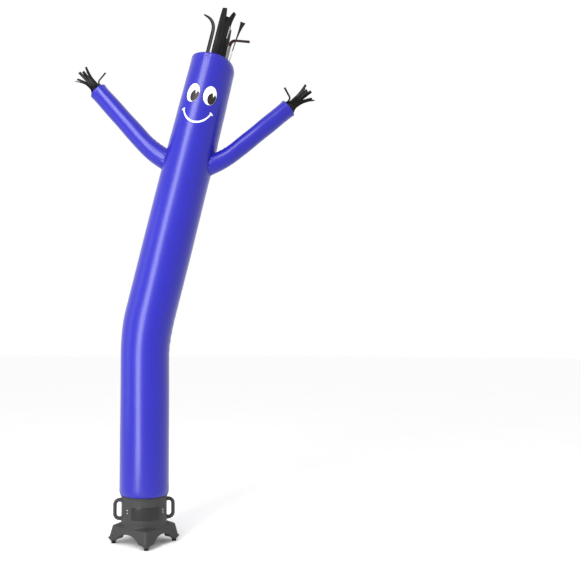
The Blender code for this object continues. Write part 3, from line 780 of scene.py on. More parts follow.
# %% [markdown]
# The thread is polyester, a shade darker than the cloth. Its twist shows as fine slanting lines, which a wave
# pattern on Object coordinates can give because a stitch is so small that its direction hardly matters.

# %% Thread
blue_thread, tree, shader = finish("blue thread", {"Sheen Weight": 0.3, "Specular IOR Level": 0.4})
place = object_place(tree)
twist = put(tree, "ShaderNodeTexWave", None, {"Vector": place, "Scale": 900.0, "Distortion": 2.0}).outputs[1]
colour = mixed(tree, noise(tree, place, 60.0), (0.022, 0.016, 0.24), (0.045, 0.036, 0.38))
covered(tree, shader, colour, spread(tree, twist, 0.45, 0.65), twist, 0.0001, 0.5)

# %% Stitch every seam of the figure
STITCH_LIFT = 0.0003
ROUND_ROWS = (0.010, 0.026, LENGTH - 0.010, LENGTH - 0.024)  # rows round the tube, from the hem
BACK_ROWS = (-0.0045, 0.0045)  # rows up the back, from its middle
turns = round_steps(240)
seam_lines = []
for distance in ROUND_ROWS:
    seam_lines.append((tube_point(distance, turns, STITCH_LIFT), True))
rising = np.linspace(0.030, LENGTH - 0.028, 420)
for offset in BACK_ROWS:
    seam_lines.append((tube_point(rising, math.pi + offset / GIRTH_RADIUS, STITCH_LIFT), False))


def arm_stitches(arm, share, angle, along, closes):
    lift = arm.puckers(along, share, angle) + STITCH_LIFT
    seam_lines.append((arm.point(share, angle, lift), closes))


for arm in arms:
    seam = arm.seam(turns)
    for beyond in (0.004, 0.010):
        arm_stitches(arm, seam + beyond / arm.length, turns, np.full_like(turns, beyond), True)
    for back in (0.008, 0.018):
        share = np.full_like(turns, 1 - back / arm.length)
        arm_stitches(arm, share, turns, (share - seam) * arm.length, True)
    under = math.pi if arm.frame(0.5)[1][2] > 0 else 0.0
    share = np.linspace(float(arm.seam(np.array(under))) + 0.02, 0.965, 160)
    along = (share - share[0]) * arm.length + 0.013
    for offset in (-0.05, 0.05):
        arm_stitches(arm, share, np.full_like(share, under + offset), along, False)
values = {"Finish": blue_thread, "Thread": 0.0006}
sewn = grown("stitches", lines_mesh("seams", seam_lines), stitch_tree, values)
stitches = piece("stitches", sewn, None)

# %% [markdown]
# ## Ribbons
#
# The hair and hands are strips of glossy black nylon sewn inside the open ends. A ribbon is a strip that
# follows a path: it starts in the seam, bends where the air turns it, twists about its own line and cups a
# little across its width. Each comb is one piece: a band sewn inside the mouth with its ribbons, made as
# single sheets and thickened at the end.


# %% A strip along a path
RIBBON_THICKNESS = 0.0006


def strip(start, across, row, rows, columns=5):
    """One ribbon as a grid and its UV chart. across is its width direction at the start."""
    step = row["length"] / rows
    place, lines, widths = start, [], []
    spot = np.linspace(-0.5, 0.5, columns)
    for count in range(rows + 1):
        share = count / rows
        heading = row["heading"](share)
        heading = heading / np.linalg.norm(heading)
        side = across - heading * (across @ heading)
        side /= np.linalg.norm(side)
        normal = np.cross(side, heading)
        turn = math.radians(row["twist"] * share)
        flat = side * math.cos(turn) + normal * math.sin(turn)
        cupped = normal * math.cos(turn) - side * math.sin(turn)
        width = row["width"] + (row["tip"] - row["width"]) * share ** row["taper"]
        bow = (0.25 - spot**2) * row["cup"] * width * min(1.0, share * 4)
        lines.append(place + flat * (spot * width)[:, None] + cupped * bow[:, None])
        place = place + heading * step
        widths.append(width)
    return np.array(lines), chart_of(np.array(widths)[:, None] * spot, np.arange(rows + 1)[:, None] * step)


def comb(name, grids, node):
    """Joins open grids into one mesh of ribbons and gives it thickness.

    Each grid is (points, chart, whether it closes, the number of its finish on each row of quads).
    """
    points, faces, corners, used, first = [], [], [], [], 0
    for number, (grid, chart, around, rows_used) in enumerate(grids):
        rows, columns = grid.shape[:2]
        made = grid_faces(rows, columns, around) + first
        faces.append(made)
        corners.append(corner_values(chart) + (number * 0.37, number * 0.61))
        points.append(grid.reshape(-1, 3))
        used.append(np.repeat(np.broadcast_to(rows_used, rows - 1), len(made) // (rows - 1)))
        first += rows * columns
    mesh = mesh_from(name, np.concatenate(points), np.concatenate(faces), np.concatenate(corners))
    for finish_used in RIBBON_FINISHES:
        mesh.materials.append(finish_used)
    mesh.polygons.foreach_set("material_index", np.concatenate(used).astype(np.int32))
    return solid_skin(piece(name, mesh, None, node), RIBBON_THICKNESS, 0)


# %% [markdown]
# Ribbon nylon is calendered, that is pressed between hot rollers, so it is much glossier than the body cloth
# and has faint lines along its length. A noise stretched along the ribbon's UV gives both the lines and the
# uneven gloss, and a slower one makes one ribbon lighter than the next. Three ribbons show their lining,
# which is silver or a dark reddish brown.


# %% Ribbon finishes
def ribbon(name, deep, light, constants):
    made, tree, shader = finish(name, constants)
    flat = put(tree, "ShaderNodeUVMap", {"uv_map": "cloth"}).outputs["UV"]
    drawn = put(tree, "ShaderNodeMapping", None, {"Vector": flat, "Scale": (260.0, 9.0, 1.0)})
    streak = noise(tree, drawn, 1.0, 3.0)
    broad = put(tree, "ShaderNodeMapping", None, {"Vector": flat, "Scale": (38.0, 5.0, 1.0)})
    share = put(tree, "ShaderNodeMapRange", None,
                {"Value": noise(tree, broad, 1.0, 1.0), "From Min": 0.42, "From Max": 0.68})
    colour = mixed(tree, share, deep, light)
    colour = mixed(tree, maths(tree, "MULTIPLY", streak, 0.3), colour, deep)
    height = maths(tree, "ADD", maths(tree, "MULTIPLY", streak, 0.25), noise(tree, flat, 55.0))
    covered(tree, shader, colour, spread(tree, streak, 0.20, 0.44), height, 0.0006, 0.6)
    return made


BLACK, SILVER, BROWN = 0, 1, 2
RIBBON_FINISHES = (
    ribbon("black ribbon", (0.001, 0.001, 0.001), (0.014, 0.014, 0.015),
           {"Coat Weight": 0.06, "Coat Roughness": 0.12, "Specular IOR Level": 0.12}),
    ribbon("silver lining", (0.16, 0.16, 0.17), (0.46, 0.46, 0.47), {"Metallic": 0.5}),
    ribbon("reddish lining", (0.010, 0.002, 0.002), (0.050, 0.012, 0.010), {"Specular IOR Level": 0.25}),
)
print("ribbon finishes:", [made.name for made in RIBBON_FINISHES])

# %% The hair
def table(keys, *rows):
    """Rows of values as dictionaries."""
    return [dict(zip(keys.split(), row)) for row in rows]


# Lengths are in metres and angles in degrees. Each ribbon turns between begin and until of its length
HAIR = table(
    "angle inside width tip length lean turn begin until front twist cup taper finish",
    (-19, 0.000, 0.025, 0.010, 0.330, 0, -78, 0.55, 1.0, 2, 0, 0.2, 5, (BLACK, BLACK)),
    (0, 0.000, 0.048, 0.028, 0.364, 0, -3, 0.30, 1.0, 0, 10, 0.1, 5, (BLACK, BLACK)),
    (22, 0.004, 0.056, 0.026, 0.355, -3, 24, 0.55, 1.0, 1, -22, 0.2, 3, (BLACK, BLACK)),
    (11, 0.012, 0.062, 0.040, 0.318, 1, 3, 0.30, 1.0, 0, 0, 0.2, 3, (BLACK, BLACK)),
    (26, 0.001, 0.006, 0.017, 0.262, -2, 4, 0.30, 1.0, 0, -30, 0.2, 1, (BLACK, SILVER)),
    (39, 0.000, 0.021, 0.024, 0.290, -1, 84, 0.48, 0.72, 3, 8, 0.2, 1, (SILVER, BROWN)),
    (139, 0.000, 0.007, 0.036, 0.405, 3, 6, 0.40, 1.0, 3, -41, 0.2, 7, (SILVER, BLACK)),
    (165, 0.000, 0.040, 0.030, 0.352, 2, -5, 0.40, 1.0, 2, 10, 0.3, 2, (BLACK, BLACK)),
)
HAIR_ROOT = 0.062  # how far below the rim the ribbons are sewn on
HAIR_ROWS = 34
BAND_GAP = CLOTH + 0.0016  # the sewn band lies this far inside the cloth's outer face
RIBBON_GAP = CLOTH + 0.0042


def hair_heading(row):
    def heading(share):
        made = eased(min(max((share - row["begin"]) / (row["until"] - row["begin"]), 0.0), 1.0))
        angle = math.radians(row["lean"] + row["turn"] * made)
        front = math.radians(row["front"])
        level = UP * math.cos(angle) + RIGHT * math.sin(angle)
        return level * math.cos(front) - BACK * math.sin(front)

    return heading


around = math.tau * np.arange(97) / 96
band_rows = LENGTH - np.linspace(0.058, 0.004, 8)
band = tube_point(band_rows[:, None], around[None, :-1], -BAND_GAP)
band_chart = chart_of(around[None, :] * 0.142, band_rows[:, None])
hair_grids = [(band, band_chart, True, BLACK)]
for row in HAIR:
    angle = math.radians(row["angle"])
    lift = -RIBBON_GAP - row["inside"]
    start = tube_point(LENGTH - HAIR_ROOT, angle, lift)
    side = RIGHT * math.cos(angle) + BACK * math.sin(angle)
    grid, chart = strip(start, side, {**row, "heading": hair_heading(row)}, HAIR_ROWS)
    # Up to the rim the ribbon follows the inside of the tube, which leans where the rim has slumped
    inside = np.minimum(chart[:, 0, 1], HAIR_ROOT)
    grid += (tube_point(LENGTH - HAIR_ROOT + inside, angle, lift) - start - np.outer(inside, UP))[:, None]
    low, high = row["finish"]
    hair_grids.append((grid, chart, False, np.where(np.arange(HAIR_ROWS) < HAIR_ROWS // 2, low, high)))
hair = comb("hair_ribbons", hair_grids, "hair_streamers")

# %% The hands
HANDS = table(  # column is the place of 24 round the cuff, where 6 faces up
    "column length gather spread tip twist",
    (0, 0.150, 0.52, 0.40, 0.017, 10),
    (3, 0.168, 0.50, 0.50, 0.016, -12),
    (6, 0.160, 0.56, 0.25, 0.018, 8),
    (8, 0.150, 0.54, 0.40, 0.019, 14),
    (11, 0.165, 0.50, 0.25, 0.018, -8),
    (14, 0.138, 0.55, 0.55, 0.016, 10),
    (17, 0.158, 0.50, 0.80, 0.012, -14),
    (19, 0.146, 0.52, 0.62, 0.014, 12),
    (22, 0.166, 0.52, 0.30, 0.017, -10),
)
HAND_ROWS = 22
HAND_WIDTH = 0.0225
HAND_SPOTS = np.linspace(-0.5, 0.5, 5)
CURL = dict(length=0.128, width=0.010, tip=0.012, twist=0, cup=0.3, taper=1)
CURL_TURN = (math.radians(12), math.radians(80))


def hand_width(row, share):
    """Full width until the ribbon fans out, then down to a narrow tip."""
    return row["tip"] + (HAND_WIDTH - row["tip"]) * (1 - max((share - 0.45) / 0.55, 0.0) ** 1.4)


def hand_grids(arm):
    axis, first, _ = arm.frame(1.0)
    upward = first if first[2] > 0 else -first
    centre = arm.line[-1]
    radius = arm.radius(0.95) - BAND_GAP
    turns = math.tau * np.arange(49) / 48
    reach = np.array([-0.030, -0.022, -0.014, -0.006, -0.002])
    second = np.cross(axis, first)
    ring = first * np.cos(turns)[:-1, None] + second * np.sin(turns)[:-1, None]
    band = centre + axis * reach[:, None, None] + ring[None] * radius
    grids = [(band, chart_of(turns[None, :] * radius, reach[:, None]), True, BLACK)]
    flat_on = np.cross(axis, BACK)
    for row in HANDS:
        middle = math.tau * (row["column"] + 0.5) / 24
        out = upward * math.sin(middle) - BACK * math.cos(middle)
        out = out - axis * (out @ axis)
        out /= np.linalg.norm(out)
        side = np.cross(axis, out)
        lines, widths = [], []
        for count in range(HAND_ROWS + 1):
            share = count / HAND_ROWS
            gathered = row["gather"] * eased(min(share / 0.32, 1.0))
            fanned = row["spread"] * max((share - 0.50) / 0.50, 0.0) ** 1.6
            away = (radius - 0.0025) * (1 - gathered + fanned)
            place = centre + axis * (row["length"] * share - 0.012 * (1 - share)) + out * away
            turn = math.radians(row["twist"] * (share + 1.2 * math.sin(share * 5 + row["column"])))
            across = side * math.cos(turn) + out * math.sin(turn)
            toward = flat_on * (1 if side @ flat_on >= 0 else -1)
            across = across + toward * 1.6 * eased(share)
            across /= np.linalg.norm(across)
            width = hand_width(row, share)
            bow = np.cross(axis, across) * ((0.25 - HAND_SPOTS**2) * width * 0.6)[:, None]
            lines.append(place + across * (HAND_SPOTS * width)[:, None] + bow)
            widths.append(width)
        along = np.linspace(0, row["length"], HAND_ROWS + 1)[:, None]
        chart = chart_of(np.array(widths)[:, None] * HAND_SPOTS[None, :], along)
        grids.append((np.array(lines), chart, False, BLACK))

    def curl_heading(share):
        low, high = CURL_TURN
        turn = low + (high - low) * eased(min(max((share - 0.25) / 0.25, 0.0), 1.0))
        return axis * math.cos(turn) + upward * math.sin(turn) * 0.9

    start = centre - axis * 0.010 + (upward * 0.5 - BACK * 0.35) * radius
    grids.append((*strip(start, flat_on, {**CURL, "heading": curl_heading}, 20), False, BLACK))
    return grids


for arm in arms:
    name = f"hand_ribbons_{arm.name}"
    comb(name, hand_grids(arm), f"hand_streamers_{arm.name}")

# %% [markdown]
# ## The blower's housing
#
# The housing is one moulding: a round neck on a square foot that is turned corner to the front, hollowed by
# four arches. Mouldings have no knife edges, because the mould needs radii. The solid from CAD has the right
# shape but sharp facets, so a copy of it is rebuilt from small cubes of space (a voxel remesh) and smoothed,
# which rounds every edge and fills every corner at once. The neck is truly round, so it is turned as a
# separate skin with its raised rings, and it covers the remeshed neck.

# %% Sizes of the neck
BODY_RADIUS = 0.1375
NECK_STEPS = 160
NECK_PROFILE = (  # radius and height, from the top inside edge, over the outside and back up the bore
    (0.1250, 0.3320), (0.1256, 0.3330), (0.1380, 0.3330), (0.1394, 0.3325), (0.1400, 0.3312),
    (0.1400, 0.3264), (0.1404, 0.3256), (0.1424, 0.3250), (0.1433, 0.3240), (0.1435, 0.3227),
    (0.1433, 0.3214), (0.1424, 0.3204), (0.1392, 0.3196), (0.1380, 0.3188), (0.1378, 0.3170),
    (0.1378, 0.2880), (0.1380, 0.2858), (0.1390, 0.2847), (0.1422, 0.2838), (0.1433, 0.2826),
    (0.1435, 0.2810), (0.1433, 0.2794), (0.1422, 0.2782), (0.1392, 0.2774), (0.1381, 0.2765),
    (0.1378, 0.2745), (0.1378, 0.2500), (0.1378, 0.2100), (0.1378, 0.1700), (0.1378, 0.1400),
    (0.1378, 0.1240), (0.1368, 0.1200), (0.1260, 0.1200), (0.1252, 0.1300), (0.1250, 0.2000),
    (0.1250, 0.2700),
)


def radial_steps(angles):
    """Level directions at the angles."""
    return np.stack([np.cos(angles), np.sin(angles), np.zeros_like(angles)], -1)


def turned(profile, steps):
    """A ring-shaped mesh: a closed outline swept round the blower's axis."""
    outline = np.array(profile)[::-1]
    angles = math.tau * np.arange(steps + 1) / steps
    outline = np.vstack([outline, outline[:1]])
    points = STAND + radial_steps(angles)[None, :-1] * outline[:, :1, None] + SKY * outline[:, 1:, None]
    along = np.concatenate([[0], np.cumsum(np.linalg.norm(np.diff(outline, axis=0), axis=1))])
    chart = chart_of(angles[None, :] * BODY_RADIUS, along[:, None])
    mesh = mesh_from("turned", points, grid_faces(len(outline), steps, True), corner_values(chart))
    outward_faces(mesh, lambda shape: bmesh.ops.remove_doubles(shape, verts=shape.verts, dist=1e-6))
    mesh.set_sharp_from_angle(angle=math.radians(50))
    return mesh


# %% [markdown]
# ### Moulded plastic
#
# Polyethylene mouldings have a fine, even grain from the mould, a slightly mottled grey, and handling marks.
# Fine noise gives the grain as a bump, a larger noise varies grey and roughness.


# %% Plastic and rubber
def moulded(name, dark, light, roughness, grain, depth):
    made, tree, shader = finish(name, {"Specular IOR Level": 0.30})
    place = object_place(tree)
    cloud = noise(tree, place, 9.0, 5.0)
    pits = put(tree, "ShaderNodeTexVoronoi", None, {"Vector": place, "Scale": grain})
    scuffs = noise(tree, place, 38.0, 6.0, Roughness=0.7)
    marks = spread(tree, maths(tree, "GREATER_THAN", scuffs, 0.68), 0.0, 0.25)
    colour = mixed(tree, marks, mixed(tree, cloud, dark, light), tuple(value * 1.9 for value in light))
    rough = spread(tree, cloud, roughness - 0.06, roughness + 0.08)
    height = maths(tree, "ADD", pits.outputs["Distance"], noise(tree, place, grain * 0.7, 3.0))
    covered(tree, shader, colour, rough, height, depth, 0.5)
    return made


grey_plastic = moulded(
    "grey moulded plastic", (0.024, 0.024, 0.0245), (0.036, 0.036, 0.0365), 0.52, 900.0, 0.00025
)
black_rubber = moulded("black rubber", (0.006, 0.006, 0.006), (0.014, 0.014, 0.013), 0.78, 600.0, 0.0003)

# %% The neck and the rounded foot of the housing
piece("blower_neck", turned(NECK_PROFILE, NECK_STEPS), grey_plastic)
raw = outward_faces(
    frame["nodes"]["blower_housing"].data.copy(),
    lambda shape: bmesh.ops.remove_doubles(shape, verts=shape.verts, dist=1e-5),
)
CUBE = 0.003
block = bpy.data.objects.new("block", raw)
bpy.context.scene.collection.objects.link(block)
cubes = block.modifiers.new("cubes", "REMESH")
cubes.mode = "VOXEL"
cubes.voxel_size = CUBE
soften = block.modifiers.new("soften", "SMOOTH")
soften.factor = 0.5
soften.iterations = 6
rounded = bpy.data.meshes.new_from_object(block.evaluated_get(bpy.context.evaluated_depsgraph_get()))
bpy.data.objects.remove(block)
CUT_HEIGHT = 0.150  # above this only the turned neck is kept


def cut_neck(shape):
    """Takes the neck off and closes the ring that is left."""
    everything = shape.verts[:] + shape.edges[:] + shape.faces[:]
    cut = dict(plane_co=(0, 0, CUT_HEIGHT), plane_no=(0, 0, 1), clear_outer=True)
    bmesh.ops.bisect_plane(shape, geom=everything, **cut)
    bmesh.ops.bridge_loops(shape, edges=[edge for edge in shape.edges if edge.is_boundary])


outward_faces(rounded, cut_neck)
piece("blower_plinth", rounded, grey_plastic, "blower_housing")

# %% [markdown]
# ### Handles
#
# Each handle is a round bar bent into a D and blended into the neck. A bar is a circle carried along a path.
# Letting its radius grow over the last few millimetres makes the soft blend that a moulded handle has.

# %% The two handles
HANDLE_RADIUS = 0.011
HANDLE_REACH = 0.188
HANDLE_LOW, HANDLE_HIGH = 0.133, 0.2645
HANDLE_CORNER = 0.028
reach = HANDLE_REACH - HANDLE_RADIUS
low, high = HANDLE_LOW + HANDLE_RADIUS, HANDLE_HIGH - HANDLE_RADIUS
bend_start = reach - HANDLE_CORNER
straight = np.linspace(BODY_RADIUS - 0.003, bend_start, 9)
d_path = [(value, high) for value in straight[:-1]]
for middle, start in ((high - HANDLE_CORNER, 90), (low + HANDLE_CORNER, 0)):
    for spot in np.radians(np.linspace(start, start - 90, 13)):
        d_path.append((bend_start + HANDLE_CORNER * math.cos(spot), middle + HANDLE_CORNER * math.sin(spot)))
d_path += [(value, low) for value in straight[::-1][1:]]
d_path = np.array(d_path)
for side, label in ((-1, "left"), (1, "right")):
    points = STAND + np.stack([side * d_path[:, 0], np.zeros(len(d_path)), d_path[:, 1]], -1)
    tangent = np.gradient(points, axis=0)
    tangent /= np.linalg.norm(tangent, axis=-1, keepdims=True)
    depth = np.array((0.0, 1.0, 0.0))
    normal = np.cross(tangent, depth)
    from_neck = np.abs(d_path[:, 0]) - BODY_RADIUS
    flare = 0.0055 * np.exp(-np.maximum(from_neck, 0) / 0.0035)
    angles = round_steps(32)[None, :, None]
    ring = np.cos(angles) * normal[:, None] + np.sin(angles) * depth
    grid = points[:, None] + ring * (HANDLE_RADIUS + flare)[:, None, None]
    mesh = mesh_from("handle", grid, grid_faces(len(points), 32, True))
    outward_faces(mesh, lambda shape: bmesh.ops.holes_fill(shape, edges=shape.edges[:]))
    piece(f"handle_{label}", mesh, grey_plastic, f"blower_handle_{label}")

# %% [markdown]
# ### The curved plate, screws, feet and strap
#
# The plate is a thin glossy sheet bent round the neck. A flat grid with rounded corners, wrapped round the
# axis by its angle and then thickened, keeps its edge even all the way round.

# %% The plate
PLATE_LOW, PLATE_HIGH = 0.156, 0.228
PLATE_ANGLE = math.radians(37.5)
PLATE_CORNER = 0.007
PLATE_RADIUS = 0.1394
half_width = PLATE_ANGLE * PLATE_RADIUS
half_height = (PLATE_HIGH - PLATE_LOW) / 2
shares = np.linspace(-1, 1, 61)
rows = []
for share in np.linspace(-1, 1, 25):
    up = share * half_height
    short = max(abs(up) - (half_height - PLATE_CORNER), 0.0)
    wide = half_width - PLATE_CORNER + math.sqrt(max(PLATE_CORNER**2 - short**2, 0.0))
    angle = shares * wide / PLATE_RADIUS
    outward = np.sin(angle)[:, None] * np.array((1.0, 0, 0)) - np.cos(angle)[:, None] * np.array((0, 1.0, 0))
    rows.append(STAND + outward * PLATE_RADIUS + SKY * ((PLATE_LOW + PLATE_HIGH) / 2 + up))
plate_gloss, tree, shader = finish(
    "dark glossy plate", {"Coat Weight": 0.5, "Coat Roughness": 0.04, "Specular IOR Level": 0.2}
)
place = object_place(tree)
rub = noise(tree, place, 220.0, 4.0)
colour = mixed(tree, noise(tree, place, 14.0, 4.0), (0.001, 0.001, 0.001), (0.003, 0.003, 0.003))
covered(tree, shader, colour, spread(tree, rub, 0.12, 0.26), rub, 0.00005, 0.3)
mesh = mesh_from("plate", np.array(rows), grid_faces(25, 61, False))
plate = solid_skin(piece("front_plate_sheet", mesh, plate_gloss, "front_plate"), 0.0012, 0)
edge = plate.modifiers.new("soft edge", "BEVEL")
edge.width = 0.0003
edge.segments = 2

# %% [markdown]
# The four screws are one shape put in four places, and the guard is rings and spokes of one wire, so both are
# small Geometry Nodes trees. A screw is a low dome with a cross recess; it is placed on the neck at an angle
# and a height, turned so that its axis points outward.

# %% Chrome and steel wire
def metal(name, dark, light, roughness, scale):
    made, tree, shader = finish(name, {"Metallic": 1.0})
    place = object_place(tree)
    fine = noise(tree, place, scale * 9)
    colour = mixed(tree, noise(tree, place, scale, 4.0), dark, light)
    covered(tree, shader, colour, spread(tree, fine, roughness, roughness + 0.14), fine, 0.00004, 0.4)
    return made


chrome = metal("chrome", (0.84, 0.84, 0.85), (0.93, 0.93, 0.94), 0.08, 60.0)
wire_steel = metal("steel wire", (0.42, 0.42, 0.41), (0.58, 0.57, 0.55), 0.26, 40.0)

# %% The screws
SCREW_ANGLE = math.radians(50.5)
SCREW_HEIGHTS = (0.1915, 0.209)
SCREW_RADIUS = 0.0032
SCREW_DEPTH = 0.0022
SCREW_PROFILE = ((1.0, 0.0), (1.0, 0.3), (0.88, 0.62), (0.62, 0.86), (0.30, 0.98), (0.0, 1.0))
SCREW_SIDES = 24


def screw_mesh():
    """One screw head standing on XY, with a cross pressed into its dome."""
    angles = round_steps(SCREW_SIDES)
    rings = []
    for reach, rise in SCREW_PROFILE[:-1]:
        cross = np.minimum(np.abs(np.cos(angles)), np.abs(np.sin(angles))) * reach < 0.16
        sunk = np.where(cross & (reach < 0.7), 0.45, 0.0)
        rings.append(np.stack([np.cos(angles) * reach * SCREW_RADIUS, np.sin(angles) * reach * SCREW_RADIUS,
                               (rise - sunk) * SCREW_DEPTH], -1))
    grid = np.array(rings)
    faces = [tuple(face) for face in grid_faces(len(rings), SCREW_SIDES, True)]
    last = (len(rings) - 1) * SCREW_SIDES
    hub = len(rings) * SCREW_SIDES
    faces += [(last + here, last + (here + 1) % SCREW_SIDES, hub) for here in range(SCREW_SIDES)]
    faces.append(tuple(range(SCREW_SIDES))[::-1])
    mesh = bpy.data.meshes.new("screw")
    points = [tuple(point) for point in grid.reshape(-1, 3)] + [(0, 0, SCREW_DEPTH * 0.5)]
    mesh.from_pydata(points, [], faces)
    outward_faces(mesh)
    mesh.set_sharp_from_angle(angle=math.radians(40))
    return mesh


screw_shape = bpy.data.objects.new("screw_shape", screw_mesh())
screw_tree, given, result = new_tree(
    "screws on points",
    (("Screw", "Object", None), ("Axis", "Vector", (0.0, 0.0, 0.0)), ("Finish", "Material", None)),
)
shape_in = put(screw_tree, "GeometryNodeObjectInfo", {"transform_space": "ORIGINAL"},
               {"Object": given.outputs["Screw"]})
spot = put(screw_tree, "GeometryNodeInputPosition")
out = put(screw_tree, "ShaderNodeVectorMath", {"operation": "SUBTRACT"}, {0: spot, 1: given.outputs["Axis"]})
level = put(screw_tree, "ShaderNodeVectorMath", {"operation": "MULTIPLY"}, {0: out, 1: (1.0, 1.0, 0.0)})
face_out = put(screw_tree, "FunctionNodeAlignRotationToVector", {"axis": "Z"}, {"Vector": level})
spots = put(screw_tree, "GeometryNodeMeshToPoints", None, {"Mesh": given.outputs["Geometry"]})
copies = put(screw_tree, "GeometryNodeInstanceOnPoints", None,
             {"Points": spots, "Instance": shape_in.outputs["Geometry"], "Rotation": face_out})
ended(screw_tree, given, result, copies)
places = []
for side in (-1, 1):
    outward = np.array((side * math.sin(SCREW_ANGLE), -math.cos(SCREW_ANGLE), 0))
    places += [STAND + outward * (BODY_RADIUS + 0.0003) + SKY * height for height in SCREW_HEIGHTS]
spot_mesh = bpy.data.meshes.new("screw spots")
spot_mesh.from_pydata([tuple(point) for point in places], [], [])
piece(
    "screws",
    grown("screws", spot_mesh, screw_tree, {"Screw": screw_shape, "Axis": tuple(STAND), "Finish": chrome}),
    None, ["side_screw_1", "side_screw_2", "side_screw_3", "side_screw_4"],
)
bpy.data.objects.remove(screw_shape)

# %% [markdown]
# The guard over the duct is resistance-welded wire: rings of one size step laid over four spokes, round a
# small plate at the middle. The tree makes every ring from one repeated circle.

# %% The wire guard
GUARD_HEIGHT = 0.3245
GUARD_RINGS = 5
GUARD_WIRE = 0.0013
GUARD_HUB = 0.030
GUARD_REACH = 0.1225
RING_HEIGHT = GUARD_HEIGHT - 0.0016
SPOKE_HEIGHT = GUARD_HEIGHT - 0.0042
SPOKE_ENDS = (0.012, GUARD_REACH + 0.0022)
guard_tree, given, result = new_tree(
    "wire guard",
    (("Wire", "Float", GUARD_WIRE), ("Hub", "Float", GUARD_HUB), ("Reach", "Float", GUARD_REACH),
     ("Rings", "Int", GUARD_RINGS), ("Finish", "Material", None)),
)
wires = put(guard_tree, "GeometryNodeMeshToCurve", None, {"Mesh": given.outputs["Geometry"]})
round_wire = put(guard_tree, "GeometryNodeCurvePrimitiveCircle", None,
                 {"Resolution": 8, "Radius": given.outputs["Wire"]})
spokes = put(guard_tree, "GeometryNodeCurveToMesh", None,
             {"Curve": wires, "Profile Curve": round_wire, "Fill Caps": True})
circle = put(guard_tree, "GeometryNodeCurvePrimitiveCircle", None, {"Resolution": 72, "Radius": 1.0})
row_points = put(guard_tree, "GeometryNodeMeshLine", {"mode": "OFFSET"},
                 {"Count": given.outputs["Rings"], "Start Location": tuple(STAND + SKY * RING_HEIGHT),
                  "Offset": (0.0, 0.0, 0.0)})
gap = maths(guard_tree, "SUBTRACT", given.outputs["Reach"], given.outputs["Hub"])
step = maths(guard_tree, "DIVIDE", gap, given.outputs["Rings"])
number = maths(guard_tree, "ADD", put(guard_tree, "GeometryNodeInputIndex"), 1.0)
wide = maths(guard_tree, "ADD", maths(guard_tree, "MULTIPLY", step, number), given.outputs["Hub"])
size = put(guard_tree, "ShaderNodeCombineXYZ", None, {"X": wide, "Y": wide, "Z": 1.0})
rings = put(guard_tree, "GeometryNodeInstanceOnPoints", None,
            {"Points": row_points, "Instance": circle, "Scale": size})
real = put(guard_tree, "GeometryNodeRealizeInstances", None, {"Geometry": rings})
ring_mesh = put(guard_tree, "GeometryNodeCurveToMesh", None, {"Curve": real, "Profile Curve": round_wire})
both = put(guard_tree, "GeometryNodeJoinGeometry")
for wire in (spokes, ring_mesh):
    feed(guard_tree, wire, both.inputs["Geometry"])
ended(guard_tree, given, result, both)
spoke_lines = []
for turn in round_steps(4) + math.tau / 8:
    outward = np.array((math.cos(turn), math.sin(turn), 0.0))
    ends = [STAND + outward * reach + SKY * SPOKE_HEIGHT for reach in SPOKE_ENDS]
    spoke_lines.append((np.array(ends), False))
guard = piece(
    "wire_guard",
    grown("wire_guard", lines_mesh("spokes", spoke_lines), guard_tree, {"Finish": wire_steel}),
    None, "outlet_guard",
)
guard.data.shade_smooth()

# %% The guard's middle plate and the four feet
def lathed(name, middle, profile, steps, finish_used, node=None):
    """A solid turned about an upright axis. profile holds (radius, height) from axis to axis."""
    outline = np.array(profile)
    radial = radial_steps(round_steps(steps))
    grid = middle + radial[None] * outline[1:-1, 0, None, None] + SKY * outline[1:-1, 1, None, None]
    faces = [tuple(face) for face in grid_faces(len(grid), steps, True)]
    last = (len(grid) - 1) * steps
    first_hub = len(grid) * steps
    faces += [((here + 1) % steps, here, first_hub) for here in range(steps)]
    faces += [(last + here, last + (here + 1) % steps, first_hub + 1) for here in range(steps)]
    hubs = [tuple(middle + SKY * outline[0, 1]), tuple(middle + SKY * outline[-1, 1])]
    mesh = bpy.data.meshes.new(name)
    mesh.from_pydata([tuple(point) for point in grid.reshape(-1, 3)] + hubs, [], faces)
    outward_faces(mesh)
    mesh.set_sharp_from_angle(angle=math.radians(45))
    return piece(name, mesh, finish_used, node)


lathed(
    "guard_hub", STAND,
    ((0, GUARD_HEIGHT - 0.0028), (GUARD_HUB - 0.001, GUARD_HEIGHT - 0.0028),
     (GUARD_HUB, GUARD_HEIGHT - 0.0024), (GUARD_HUB, GUARD_HEIGHT - 0.0006),
     (GUARD_HUB - 0.0012, GUARD_HEIGHT), (0.012, GUARD_HEIGHT),
     (0.009, GUARD_HEIGHT - 0.0006), (0, GUARD_HEIGHT - 0.0006)),
    56, wire_steel,
)
FOOT_REACH = 0.184
FOOT_PROFILE = ((0, 0.0), (0.0115, 0.0), (0.0128, 0.0006), (0.0135, 0.0022),
                (0.0132, 0.0100), (0.0120, 0.0124), (0.0100, 0.0130), (0, 0.0130))
for label, direction in (("front", (0, -1)), ("right", (1, 0)), ("back", (0, 1)), ("left", (-1, 0))):
    middle = STAND + np.array((*direction, 0)) * FOOT_REACH
    lathed(f"rubber_foot_{label}", middle, FOOT_PROFILE, 40, black_rubber, f"foot_{label}")

# %% [markdown]
# The strap that clamps the hem under the neck's lip is a flat woven band. The solid from CAD already has its
# true shape, so it keeps its mesh and only gets its webbing: a herringbone of waves on Object coordinates,
# which need no UV map.

